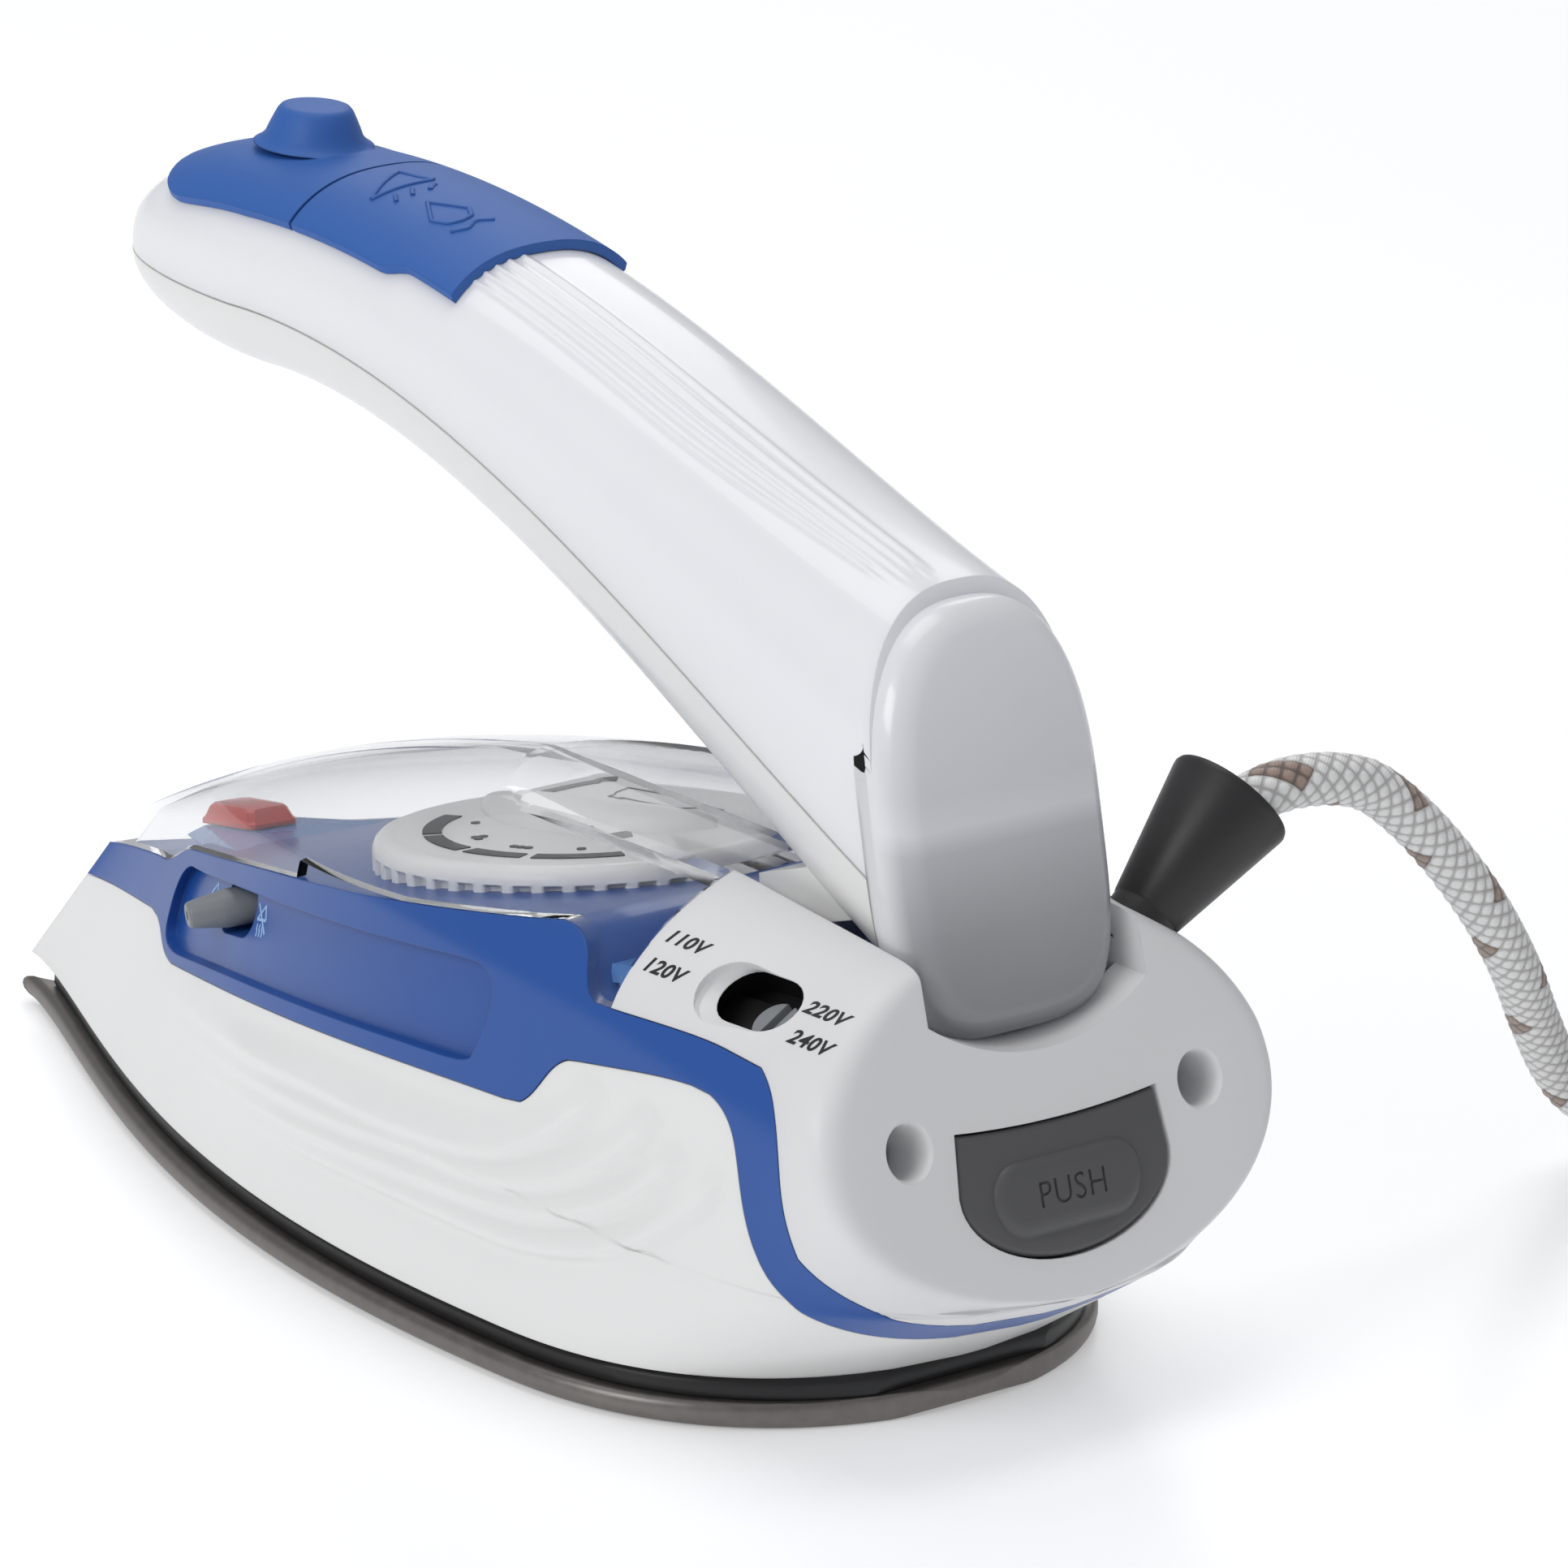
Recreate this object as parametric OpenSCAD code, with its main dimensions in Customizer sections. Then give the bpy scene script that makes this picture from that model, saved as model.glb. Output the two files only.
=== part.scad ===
// Foldable travel steam iron with a water tank in its handle.
// Origin: centre of the soleplate's underside. +X points to the nose, +Y to the iron's
// left side and +Z up. All sizes are in millimetres.

/* [Soleplate] */
// Widest width of the soleplate
sole_w = 86; // [80:1:92]
// Thickness of the soleplate's rounded flange
flange_t = 3.3; // [2.8:0.1:4]
// Radius of each steam vent
vent_r = 1.3; // [1:0.1:1.6]
// Radius of the cast-in heating tube
element_r = 3.2; // [2.8:0.1:3.4]

/* [Casing] */
// Wall thickness of the moulded casing
wall = 2.2; // [1.8:0.1:2.6]
// Height at which the white lower shell starts
shell_z = 6.4; // [6.2:0.1:6.8]
// Thickness of the clear dome
dome_t = 1.6; // [1.2:0.1:2]

/* [Controls] */
// Radius of the temperature dial
dial_r = 27.3; // [25:0.1:28]
// Height of the temperature dial's rim
dial_h = 6.3; // [5:0.1:6.6]
// Number of finger notches round the dial
dial_notches = 44; // [30:1:50]
// Travel of the release button into the rear housing
button_travel = 2.5; // [1.5:0.1:2.8]

/* [Handle] */
// Half the handle's greatest width
handle_hw = 17.5; // [16:0.1:17.7]
// Wall thickness of the water tank
tank_wall = 1.8; // [1.4:0.1:2.4]
// Radius of the fold hinge's pin
pin_r = 2; // [1.6:0.1:2.4]
// Radius of the filler knob's top
knob_r = 4.1; // [3.5:0.1:4.8]

/* [Cord] */
// Diameter of the braided cord
cord_d = 6.8; // [6:0.1:7.2]

/* [Hidden] */
$fn = 48;
eps = 0.01;

// ---- outer form of the casing: half-width at any x and height z ----
mid_x = -46;
side_lean = 0.11;
nose_lean = 0.75;
nose_x0 = 88.5;
face_x = -98.3;
face_z = 40;
face_lean = 0.3424;
face_a = atan(face_lean);
face_hw = 38;
face_up = 22.7;
face_down = 20.7;
face_low = face_z - face_down;
apex_x = -61;
apex_z = 65.6;
apex_h = 20;
nose_drop = 35;
nose_run = 131.3;
rear_run = 30.5;

function side_w(z) = sole_w / 2 - 0.8 - side_lean * (z - shell_z);
function nose_x(z) = nose_x0 - nose_lean * (z - shell_z);
function face_at(z) = face_x + face_lean * (z - face_z);
function crown_z(x) = x >= apex_x ? apex_z - nose_drop * pow((x - apex_x) / nose_run, 2.3)
    : apex_z - 2.9 * (apex_x - x) / rear_run;
function crown_h(x) = x >= apex_x ? apex_h - 0.115 * (x - apex_x)
    : apex_h + 2.7 * (apex_x - x) / rear_run;
function face_w(z) = z >= face_z ? face_hw * sqrt(max(0, 1 - pow((z - face_z) / face_up, 2)))
    : face_hw * sqrt(max(0, 1 - pow((face_z - z) / face_down, 2.2)));
function front_w(x, z) = side_w(z)
    * pow(max(0, 1 - pow(max(0, x - mid_x) / (nose_x(z) - mid_x), 2.2)), 1.25);
function low_rear_w(x, z) = let (
        k = (z - shell_z) / (face_low - shell_z),
        s = (mid_x - x) / (41.3 + 18.1 * k))
    side_w(z) * pow(max(0, 1 - pow(s, 2.6 + 0.4 * k)), 1 / (2.1 + 0.3 * k));
function high_rear_w(x, z) = let (
        r = min(0.9999, face_w(min(z, face_z)) / side_w(z)),
        sf = pow(1 - pow(r, 2.4), 1 / 3),
        run = (mid_x - face_at(z)) / sf)
    side_w(z) * pow(max(0, 1 - pow((mid_x - x) / run, 3)), 1 / 2.4);
function roll_off(x, z) = let (u = (z - crown_z(x) + crown_h(x)) / crown_h(x))
    u <= 0 ? 1 : sqrt(max(0, 1 - u * u));
function body_w(x, z) = roll_off(x, z) * (x >= mid_x ? front_w(x, z)
    : z <= face_low ? low_rear_w(x, z) : high_rear_w(x, z));

// Front and rear end of the casing's outline at height z
function crown_front(z) = apex_x + nose_run * pow(max(0, (apex_z - z) / nose_drop), 1 / 2.3);
function outline_front(z) = min(nose_x(z), crown_front(z));
function outline_rear(z) = z <= face_low
    ? mid_x - 41.3 - 18.1 * (z - shell_z) / (face_low - shell_z)
    : z <= apex_z - 2.9 ? face_at(z) : max(face_at(z), apex_x - (apex_z - z) * rear_run / 2.9);

HALF = 20;
function spread(k) = (1 - cos(180 * k / HALF)) / 2;
// One closed ring of the casing at height z, moved in by t
function body_ring(z, t) = let (
        a = outline_rear(z) + t * 1.06,
        b = outline_front(z) - 3 * t - 0.4)
    [for (side = [1, -1]) for (j = [0:HALF]) let (
        k = side > 0 ? j : HALF - j,
        x = a + (b - a) * spread(k))
        [x, side * max(0.3, body_w(x, z) - t), z]];
LEVELS = [shell_z, 12, 19.3, 23, 27, 32, 37, 42, 47, 51, 55, 58, 61, 63.2, 64.8];
function ring_faces(n, m) = concat(
    [[for (j = [m - 1:-1:0]) j]],
    [for (i = [0:n - 2]) for (j = [0:m - 1]) let (k = (j + 1) % m)
        [i * m + j, (i + 1) * m + k, (i + 1) * m + j]],
    [for (i = [0:n - 2]) for (j = [0:m - 1]) let (k = (j + 1) % m)
        [i * m + j, i * m + k, (i + 1) * m + k]],
    [[for (j = [0:m - 1]) (n - 1) * m + j]]);
module skin(rings) {
    polyhedron(points = [for (r = rings) for (p = r) p],
        faces = ring_faces(len(rings), len(rings[0])), convexity = 8);
}
// The casing's form, moved in by t, between two heights
module body_form(t, z0 = shell_z, z1 = 64.8) {
    skin([for (z = LEVELS) if (z >= z0 - eps && z <= z1 + eps) body_ring(z, t)]);
}

// ---- parting lines, drawn in the side view as [x, z] ----
function bezier(a, b, c, d, n) = [for (i = [0:n]) let (t = i / n)
    pow(1 - t, 3) * a + 3 * t * pow(1 - t, 2) * b + 3 * t * t * (1 - t) * c + t * t * t * d];
// Lower edge of the trim band, nose to tail
trim_low = concat(
    [[96, 19.5], [78, 20], [53, 24.6]],
    bezier([50, 24.6], [46, 24], [45.5, 22], [40, 22.3], 5),
    bezier([30, 24.2], [0, 29.6], [-25, 32.6], [-44, 33.4], 6),
    bezier([-47, 33.8], [-50, 35.5], [-50.5, 39.5], [-54, 41], 5),
    bezier([-56, 41.4], [-66, 43], [-70, 43.8], [-75, 44], 4),
    bezier([-78, 43.8], [-84.5, 42], [-84, 35], [-86, 27], 8),
    bezier([-86.6, 25], [-88, 20.5], [-91, 18.4], [-96, 14.2], 5),
    [[-102, 9]]);
// Upper edge of the trim band, nose to tail
trim_high = concat(
    [[96, 25.4], [74, 25.6], [57, 29.8]],
    bezier([55, 30.2], [50, 31], [50, 33.4], [45, 34.8], 5),
    bezier([30, 38.8], [10, 44.4], [-20, 50.8], [-41, 54.4], 7),
    bezier([-46, 55.4], [-54, 55.6], [-53.5, 49.4], [-57, 48.9], 6),
    bezier([-60, 48.9], [-68, 49.2], [-74, 49.4], [-78, 49], 4),
    bezier([-84, 48.4], [-90.5, 45], [-90.8, 39], [-91.4, 33], 8),
    bezier([-92, 27], [-94, 23.5], [-97, 20.6], [-101, 16.4], 5),
    [[-107, 10.6]]);
// A freeform moulding, taken as one mesh
module moulding() {
    resize([0, 0, 0])
        union()
            children();
}
// A round tube swept along a list of points; ref is never parallel to the path
function unit(v) = v / norm(v);
function tangent(p, i) = unit(p[min(i + 1, len(p) - 1)] - p[max(i - 1, 0)]);
function tube_ring(c, t, ref, r, n) = let (a = unit(cross(ref, t)), b = cross(t, a))
    [for (k = [0:n - 1]) c + r * (cos(360 * k / n) * a - sin(360 * k / n) * b)];
module tube(p, ref, r, n = 12) {
    skin([for (i = [0:len(p) - 1]) tube_ring(p[i], tangent(p, i), ref, r, n)]);
}
// Smooth route through the given points, n steps between each two
function between(p, i, t) = let (
        a = p[max(i - 1, 0)],
        b = p[i],
        c = p[i + 1],
        d = p[min(i + 2, len(p) - 1)])
    b + (c - a) * t / 2 + (2 * a - 5 * b + 4 * c - d) * t * t / 2
    + (3 * b - a - 3 * c + d) * t * t * t / 2;
function route(p, n) = concat(
    [for (i = [0:len(p) - 2]) for (k = [0:n - 1]) between(p, i, k / n)],
    [p[len(p) - 1]]);
module side_cut(points) {
    translate([0, 60, 0])
        rotate([90, 0, 0])
            linear_extrude(120)
                polygon(points);
}
function reversed(v) = [for (i = [len(v) - 1:-1:0]) v[i]];
module below_trim() { side_cut(concat(trim_low, [[-102, 0], [96, 0]])); }
module in_trim() { side_cut(concat(trim_low, [[-106, 4]], reversed(trim_high))); }
module above_trim() { side_cut(concat(trim_high, [[-112, 12], [-112, 80], [96, 80]])); }

// ---- soleplate ----
sole_x = -88;
sole_len = 178;
function sole_y(x, t) = let (s = x >= mid_x ? (x - mid_x) / 136 : (mid_x - x) / 42)
    x >= mid_x ? (sole_w / 2) * pow(max(0, 1 - pow(s, 2.2)), 1.25) - t
    : (sole_w / 2) * pow(max(0, 1 - pow(s, 2.6)), 1 / 2.1) - t;
SOLE_HALF = 30;
function sole_outline(t) = let (a = sole_x + t, b = sole_x + sole_len - 3 * t)
    [for (side = [1, -1]) for (j = [0:SOLE_HALF]) let (
        k = side > 0 ? j : SOLE_HALF - j,
        x = a + (b - a) * (1 - cos(180 * k / SOLE_HALF)) / 2)
        [x, side * max(0.3, sole_y(x, t))]];
module sole_slab(t, z0, h) {
    translate([0, 0, z0])
        linear_extrude(h)
            polygon(sole_outline(t));
}
boss_top = 10;
element_x = 30;
element_bend = 15;
element_back = -72;
module element_path(r) {
    for (side = [1, -1])
        translate([element_back, side * element_bend, boss_top])
            rotate([0, 90, 0])
                cylinder(r = r, h = element_x - element_back);
    translate([element_x, 0, boss_top])
        rotate([0, 0, -90])
            rotate_extrude(angle = 180)
                translate([element_bend, 0])
                    circle(r = r);
}
VENTS = [for (side = [1, -1]) for (i = [0:5]) [44 - 16 * i, side * (13 + 3.6 * i - 0.1 * i * i)],
    for (i = [0:3]) [66 - 5 * i, 0]];
screw_points = [[58, 0], [-60, 27], [-60, -27]];
module soleplate() {
    color("#4d4a46")
        difference() {
            union() {
                sole_slab(1.1, 0, 0.9);
                sole_slab(0, 0.9, flange_t - 0.9);
                sole_slab(9, flange_t - eps, boss_top - flange_t);
            }
            element_path(element_r + 0.05);
            for (v = VENTS)
                translate([v[0], v[1], -1])
                    cylinder(r = vent_r, h = 14, $fn = 24);
            for (p = screw_points)
                translate([p[0], p[1], 5])
                    cylinder(r = 1.6, h = 8, $fn = 24);
        }
}
module heating_element() {
    color("silver") {
        element_path(element_r);
        for (side = [1, -1])
            translate([element_back - 8, side * element_bend, boss_top])
                rotate([0, 90, 0])
                    cylinder(r = 1.5, h = 8, $fn = 24);
    }
}
cover_z = 13.4;
module steam_cover() {
    color("#b8bab8")
        difference() {
            union() {
                sole_slab(13, cover_z, 1.5);
                translate([22, 0, cover_z])
                    cylinder(r = 8, h = 3.6);
            }
            translate([22, 0, cover_z - 1])
                cylinder(r = 1.65, h = 8, $fn = 32);
            for (p = screw_points)
                translate([p[0], p[1], cover_z - 1])
                    cylinder(r = 1.7, h = 8, $fn = 24);
        }
}
module insulating_skirt() {
    color("#1b1b1c")
        difference() {
            sole_slab(2.2, flange_t, shell_z - flange_t);
            sole_slab(5.2, flange_t - 1, shell_z);
        }
}
module sole_screws() {
    color("silver")
        for (p = screw_points)
            translate([p[0], p[1], 0]) {
                translate([0, 0, 6])
                    cylinder(r = 1.55, h = cover_z - 4.5, $fn = 24);
                translate([0, 0, cover_z + 1.5])
                    cylinder(r = 3.2, h = 1.8, $fn = 32);
            }
}

// ---- casing shells ----
module lower_shell() {
    color("white")
        moulding()
            difference() {
                intersection() {
                    body_form(0);
                    below_trim();
                }
                difference() {
                    body_form(wall);
                    side_cut([[-120, shell_z], [-82.5, shell_z], [-82.5, 14.5], [-99, 22], [-120, 22]]);
                }
                sole_slab(6, shell_z - 1, 3);
            }
}
recess = concat(
    bezier([46, 26.5], [47, 30], [46, 33], [42, 33.6], 5),
    bezier([38, 34.4], [20, 38.6], [0, 42.8], [-32, 47.6], 6),
    bezier([-36, 48], [-41, 48], [-40, 43], [-38.5, 39], 5),
    bezier([-37.5, 36.6], [-36.6, 35.6], [-34, 35.4], [-30, 35], 4),
    bezier([-24, 34.4], [0, 31.6], [20, 28], [34, 24.9], 5),
    bezier([38, 24], [44, 22.8], [45.6, 24], [46, 26.5], 4));
recess_t = 1.8;
slider_p = [28.2, 19.4, 33.3];
slider_dir = [-0.86, 0.46, 0.21];
slider_travel = 6;
module slider_frame() {
    translate(slider_p)
        rotate([0, 0, 62])
            rotate([0, 99.8, 0])
                children();
}
module slider_slot() {
    for (k = [0:3])
        translate(slider_dir * slider_travel * k / 3)
            slider_frame()
                cylinder(r = 3.1, h = 24, center = true, $fn = 32);
}
module trim_band() {
    color("#2c5dab")
        moulding()
            difference() {
                intersection() {
                    body_form(0);
                    in_trim();
                }
                body_form(recess_t + wall);
                difference() {
                    side_cut(recess);
                    body_form(recess_t);
                }
                slider_slot();
            }
}
deck_z = 45.6;
deck_a = 9.2;
dial_c = [-15.8, 0, 53.1];
module deck_slab(z, t) {
    translate([-15.8, 0, z])
        rotate([0, deck_a, 0])
            translate([-43, -50, -t])
                cube([128, 100, t]);
}
module top_deck() {
    color("#3f78c4")
        difference() {
            moulding()
                intersection() {
                    body_form(recess_t + wall + 0.05, 27);
                    deck_slab(deck_z, 2);
                }
            translate(dial_c)
                rotate([0, deck_a, 0])
                    translate([0, 0, -20])
                        cylinder(r = 6, h = 20);
            translate([22, 0, 20])
                cylinder(r = 3, h = 40, $fn = 32);
            translate([47, 0, 20])
                cylinder(r = 3.1, h = 30, $fn = 32);
        }
}
dome_back = -59.2;
cut_back = -36;
cut_front = 5;
valley_z = 61.2;
// Flat valley in the dome's crown where the folded handle lies
module folded_room(z) {
    translate([-70, -slot_hw - 0.3, z])
        cube([75, 2 * slot_hw + 0.6, 20]);
}
module clear_dome() {
    color("#dfe9f2", 0.35)
        moulding()
            difference() {
                intersection() {
                    body_form(0);
                    above_trim();
                    translate([dome_back, -60, 20])
                        cube([140, 120, 60]);
                }
                folded_room(valley_z);
                difference() {
                    body_form(dome_t);
                    folded_room(valley_z - dome_t);
                }
                for (side = [1, -1])
                    translate([cut_back, side > 0 ? 21 : -51, 30])
                        rotate([0, 8, 0])
                            cube([cut_front - cut_back, 30, 22.5]);
                // room for the hinge's web when the handle folds
                translate([dome_back - 1, -16, 50])
                    cube([6, 32, 20]);
            }
}
module lamp_cover() {
    color("#c8321e")
        difference() {
            translate([47, 0, 35.6])
                rotate([0, deck_a, 0])
                    hull() {
                        translate([-5, -4, 0])
                            cube([10, 8, 0.8]);
                        translate([-4, -3.2, 2.2])
                            cube([8, 6.4, 0.4]);
                    }
            translate([47, 0, 30])
                cylinder(r = 2.6, h = 6.4, $fn = 32);
        }
}
module neon_lamp() {
    color("#f2a07a")
        translate([47, 0, 24]) {
            cylinder(r = 2.3, h = 9.5, $fn = 32);
            translate([0, 0, 9.5])
                sphere(r = 2.3, $fn = 32);
        }
}

// ---- temperature control ----
module dial_frame() {
    translate(dial_c)
        rotate([0, deck_a, 0])
            children();
}
module temperature_dial() {
    color("white")
        dial_frame()
            difference() {
                union() {
                    translate([0, 0, -dial_h])
                        cylinder(r = dial_r - 0.4, h = 0.8, $fn = 96);
                    translate([0, 0, -dial_h + 0.8])
                        cylinder(r = dial_r, h = dial_h - 2.2, $fn = 96);
                    translate([0, 0, -1.4])
                        cylinder(r1 = dial_r, r2 = dial_r - 1.4, h = 1.4, $fn = 96);
                }
                translate([0, 0, -dial_h - 1])
                    difference() {
                        cylinder(r = dial_r - 2.4, h = dial_h - 0.8, $fn = 96);
                        cylinder(r = 6, h = 12);
                    }
                translate([0, 0, -dial_h - 1])
                    cylinder(r = 3.03, h = dial_h - 0.6, $fn = 48);
                for (i = [0:dial_notches - 1])
                    rotate([0, 0, i * 360 / dial_notches])
                        translate([dial_r - 0.5, -0.8, -dial_h + 1.6])
                            cube([2, 1.6, 2.6]);
            }
}
shaft_low = -29;
module dial_shaft() {
    color("#c9b27a")
        dial_frame()
            translate([0, 0, shaft_low])
                cylinder(r = 3, h = -shaft_low - 1.7, $fn = 48);
}
thermo_z = 15.1;
module thermostat() {
    color("#d8d2c4")
        difference() {
            union() {
                translate([-27, -9, thermo_z])
                    cube([13, 18, 3]);
                translate([-28, -6, thermo_z + 3])
                    cube([15, 12, 6]);
            }
            dial_frame()
                translate([0, 0, shaft_low - 0.4])
                    cylinder(r = 3.06, h = 20, $fn = 48);
        }
}
module thermal_fuse() {
    color("#e9e4d6")
        translate([-58, 0, thermo_z + 2])
            rotate([90, 0, 0])
                cylinder(r = 2, h = 18, center = true, $fn = 32);
}

// ---- steam control ----
module steam_slider() {
    color("#8b8d90")
        difference() {
            slider_frame() {
                translate([0, 0, -3])
                    cylinder(r = 2.7, h = 6, $fn = 40);
                translate([0, 0, 3 - eps])
                    cylinder(r1 = 2.7, r2 = 2.1, h = 3.6, $fn = 40);
                translate([0, 0, -8])
                    cylinder(r = 2, h = 5 + eps, $fn = 40);
            }
            slider_frame()
                translate([0, 0, 4.6])
                    cylinder(r = 0.8, h = 3, $fn = 24);
        }
}
module valve_needle() {
    color("silver")
        translate([22, 0, 0]) {
            translate([0, 0, 18])
                cylinder(r = 1.5, h = 17, $fn = 32);
            translate([0, 0, 15])
                cylinder(r1 = 0.6, r2 = 1.5, h = 3 + eps, $fn = 32);
        }
}
module drip_valve() {
    color("#e8e8e6")
        translate([22, 0, cover_z + 3.65])
            difference() {
                union() {
                    cylinder(r = 6, h = 2);
                    cylinder(r = 4, h = 14);
                    translate([0, 0, 9])
                        rotate([0, -90, 0])
                            cylinder(r = 2.4, h = 9, $fn = 32);
                }
                translate([0, 0, -1])
                    cylinder(r = 1.55, h = 17, $fn = 32);
            }
}

// ---- rear housing ----
slot_hw = 18.2;
module face_frame() {
    translate([face_x, 0, face_z])
        rotate([0, 90 - face_a, 180])
            rotate([0, 0, 180])
                children();
}
// Outline of the release button in the rear face, as [up the face, across]
function button_outline(g) = concat(
    [[0.4 + g, 17.4 + g], [-0.5 + g, 0], [0.4 + g, -17.4 - g], [-7, -17.4 - g]],
    [for (a = [-80:10:80]) [-7 - (9.6 + g) * cos(a), (17.4 + g) * sin(a)]],
    [[-7, 17.4 + g]]);
window_c = [-77.3, 31.5, 53.6];
window_a = 36;
module window_frame() {
    translate(window_c)
        rotate([-window_a, 4, 0])
            children();
}
module stadium(len, r, h) {
    for (s = [-1, 1])
        translate([s * (len / 2 - r), 0, 0])
            cylinder(r = r, h = h);
    translate([-(len / 2 - r), -r, 0])
        cube([len - 2 * r, 2 * r, h]);
}
guard_p = [-85.8, -25.4, 57];
guard_tilt = 48;
module guard_frame() {
    translate(guard_p)
        rotate([guard_tilt, 0, 0])
            children();
}
pivot = [-64, 0, 56];
barrel_r = 3.8;
module across(r, h) {
    rotate([90, 0, 0])
        cylinder(r = r, h = h, center = true);
}
// Slot for the handle, open upwards, rearwards and forwards
module handle_slot() {
    translate([-120, -slot_hw, 54])
        cube([62, 2 * slot_hw, 40]);
    translate([-120, 0, 82])
        rotate([0, 90, 0])
            intersection() {
                cylinder(r = 34.3, h = 62);
                translate([0, -slot_hw, -1])
                    cube([40, 2 * slot_hw, 70]);
            }
    translate([-88.5, -slot_hw, 45.5])
        cube([31, 2 * slot_hw, 40]);
}
module rear_housing() {
    color("#f1f1f0")
        difference() {
            moulding()
                difference() {
                    union() {
                        difference() {
                            intersection() {
                                body_form(0);
                                above_trim();
                                translate([-120, -60, 0])
                                    cube([60.5, 120, 80]);
                            }
                            body_form(wall);
                        }
                        // walls of the handle's slot, which carry the hinge pin
                        intersection() {
                            body_form(0.3);
                            for (side = [1, -1])
                                translate([-92, side > 0 ? slot_hw : -slot_hw - 3, 42])
                                    cube([32.4, 3, 30]);
                        }
                        // bosses of the two rear screws
                        for (side = [1, -1])
                            face_frame()
                                translate([0, side * 24.3, -12])
                                    cylinder(r = 5.4, h = 11.5);
                    }
                    handle_slot();
                    // opening of the release button
                    face_frame()
                        translate([0, 0, -6])
                            linear_extrude(12)
                                polygon(button_outline(0.3));
                }
            // screw recesses
            for (side = [1, -1])
                face_frame()
                    translate([0, side * 24.3, -9]) {
                        cylinder(r = 3.1, h = 20, $fn = 40);
                        translate([0, 0, -6])
                            cylinder(r = 1.6, h = 12, $fn = 24);
                    }
            // voltage window with its bevelled recess
            window_frame() {
                translate([0, 0, -8])
                    stadium(13.6, 3.9, 16);
                translate([0, 0, -1.1])
                    stadium(16.4, 5.2, 8);
            }
            // hole of the cord guard
            guard_frame()
                translate([0, 0, -4])
                    cylinder(r = 4.45, h = 24);
            // bore of the hinge pin
            translate(pivot)
                across(pin_r - 0.02, 41);
        }
}
module housing_screws() {
    color("silver")
        for (side = [1, -1])
            face_frame()
                translate([0, side * 24.3, -9])
                    difference() {
                        union() {
                            cylinder(r = 2.9, h = 1.8, $fn = 32);
                            translate([0, 0, -5.8])
                                cylinder(r = 1.55, h = 6, $fn = 24);
                        }
                        for (a = [0, 90])
                            rotate([0, 0, a])
                                translate([-1.8, -0.35, 1])
                                    cube([3.6, 0.7, 2]);
                    }
}
selector_travel = 4.6;
module voltage_selector() {
    color("#7d8489")
        window_frame()
            translate([-2.3, -0.35, -5])
                difference() {
                    cylinder(r = 3, h = 3, $fn = 48);
                    translate([-0.6, -2.4, 2])
                        cube([1.2, 4.8, 2]);
                }
}
module voltage_switch() {
    color("#2b2b2c")
        window_frame()
            translate([-9, -4.2, -11])
                cube([18, 8.4, 5.7]);
}

// ---- release button and latch ----
module release_button() {
    color("#5a5a5b")
        face_frame() {
            translate([0, 0, -2.2])
                linear_extrude(2.2)
                    polygon(button_outline(0));
            translate([-8.4, 0, -eps])
                rotate([0, 0, 90])
                    stadium(23, 4, 0.9);
            translate([-8.4, 0, -7])
                cylinder(r = 4.4, h = 5, $fn = 40);
        }
}
module latch_hook() {
    color("#d6d6d4")
        face_frame() {
            translate([-3.2, -6, -14.2])
                cube([2.8, 12, 12]);
            translate([-3.2, -6, -14.2])
                cube([14.4, 12, 2]);
            translate([9.9, -6, -12.3])
                cube([1.3, 12, 0.9]);
        }
}
spring_r = 3.2;
spring_wire = 0.45;
spring_turns = 4;
spring_len = 6;
function spring_centre(k) = let (a = 360 * spring_turns * k) [spring_r * cos(a), spring_r * sin(a),
    -7.1 - spring_len + 0.45 + (spring_len - 0.9) * k];
function spring_ring(k) = let (a = 360 * spring_turns * k, c = spring_centre(k))
    [for (b = [0:60:300]) c + [spring_wire * cos(b) * cos(a), spring_wire * cos(b) * sin(a),
        spring_wire * sin(b)]];
module button_spring() {
    color("silver")
        face_frame()
            translate([-8.4, 0, 0])
                skin([for (i = [0:56]) spring_ring(i / 56)]);
}

// ---- handle: a curved hollow body between a top and a bottom line ----
tip_x = 38;
tip_top = 125;
tip_low = 99;
top_line = [[-79.7, 99.5], [-45, 107], [-5, 128], [tip_x, tip_top]];
low_line = [[-93.6, 49.2], [-53, 67.5], [-5, 102.5], [tip_x, tip_low]];
tip_len = 29;
tip_mid = 110;
TUBE = 14;
TIP = 7;
function curve_at(p, t) = pow(1 - t, 3) * p[0] + 3 * t * pow(1 - t, 2) * p[1]
    + 3 * t * t * (1 - t) * p[2] + t * t * t * p[3];
// Stations along the handle: [top point, bottom point, half-width, squareness]
function tube_station(t) = [curve_at(top_line, t), curve_at(low_line, t),
    handle_hw - 0.4 * t, 2.9 - 0.5 * t, 4.2 - 1.6 * t];
function tip_station(a) = let (x = tip_x + tip_len * sin(a), c = cos(a)) [
    [x, tip_mid + (tip_top - tip_mid) * pow(c, 0.85)], [x, tip_mid + (tip_low - tip_mid) * pow(c, 0.85)],
    (handle_hw - 0.4) * pow(c, 0.62), 2.4, 2.6];
STATIONS = concat([for (i = [0:TUBE]) tube_station(i / TUBE)],
    [for (i = [1:TIP]) tip_station(86 * i / TIP)]);
function sgn_pow(v, p) = sign(v) * pow(abs(v), p);
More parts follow.
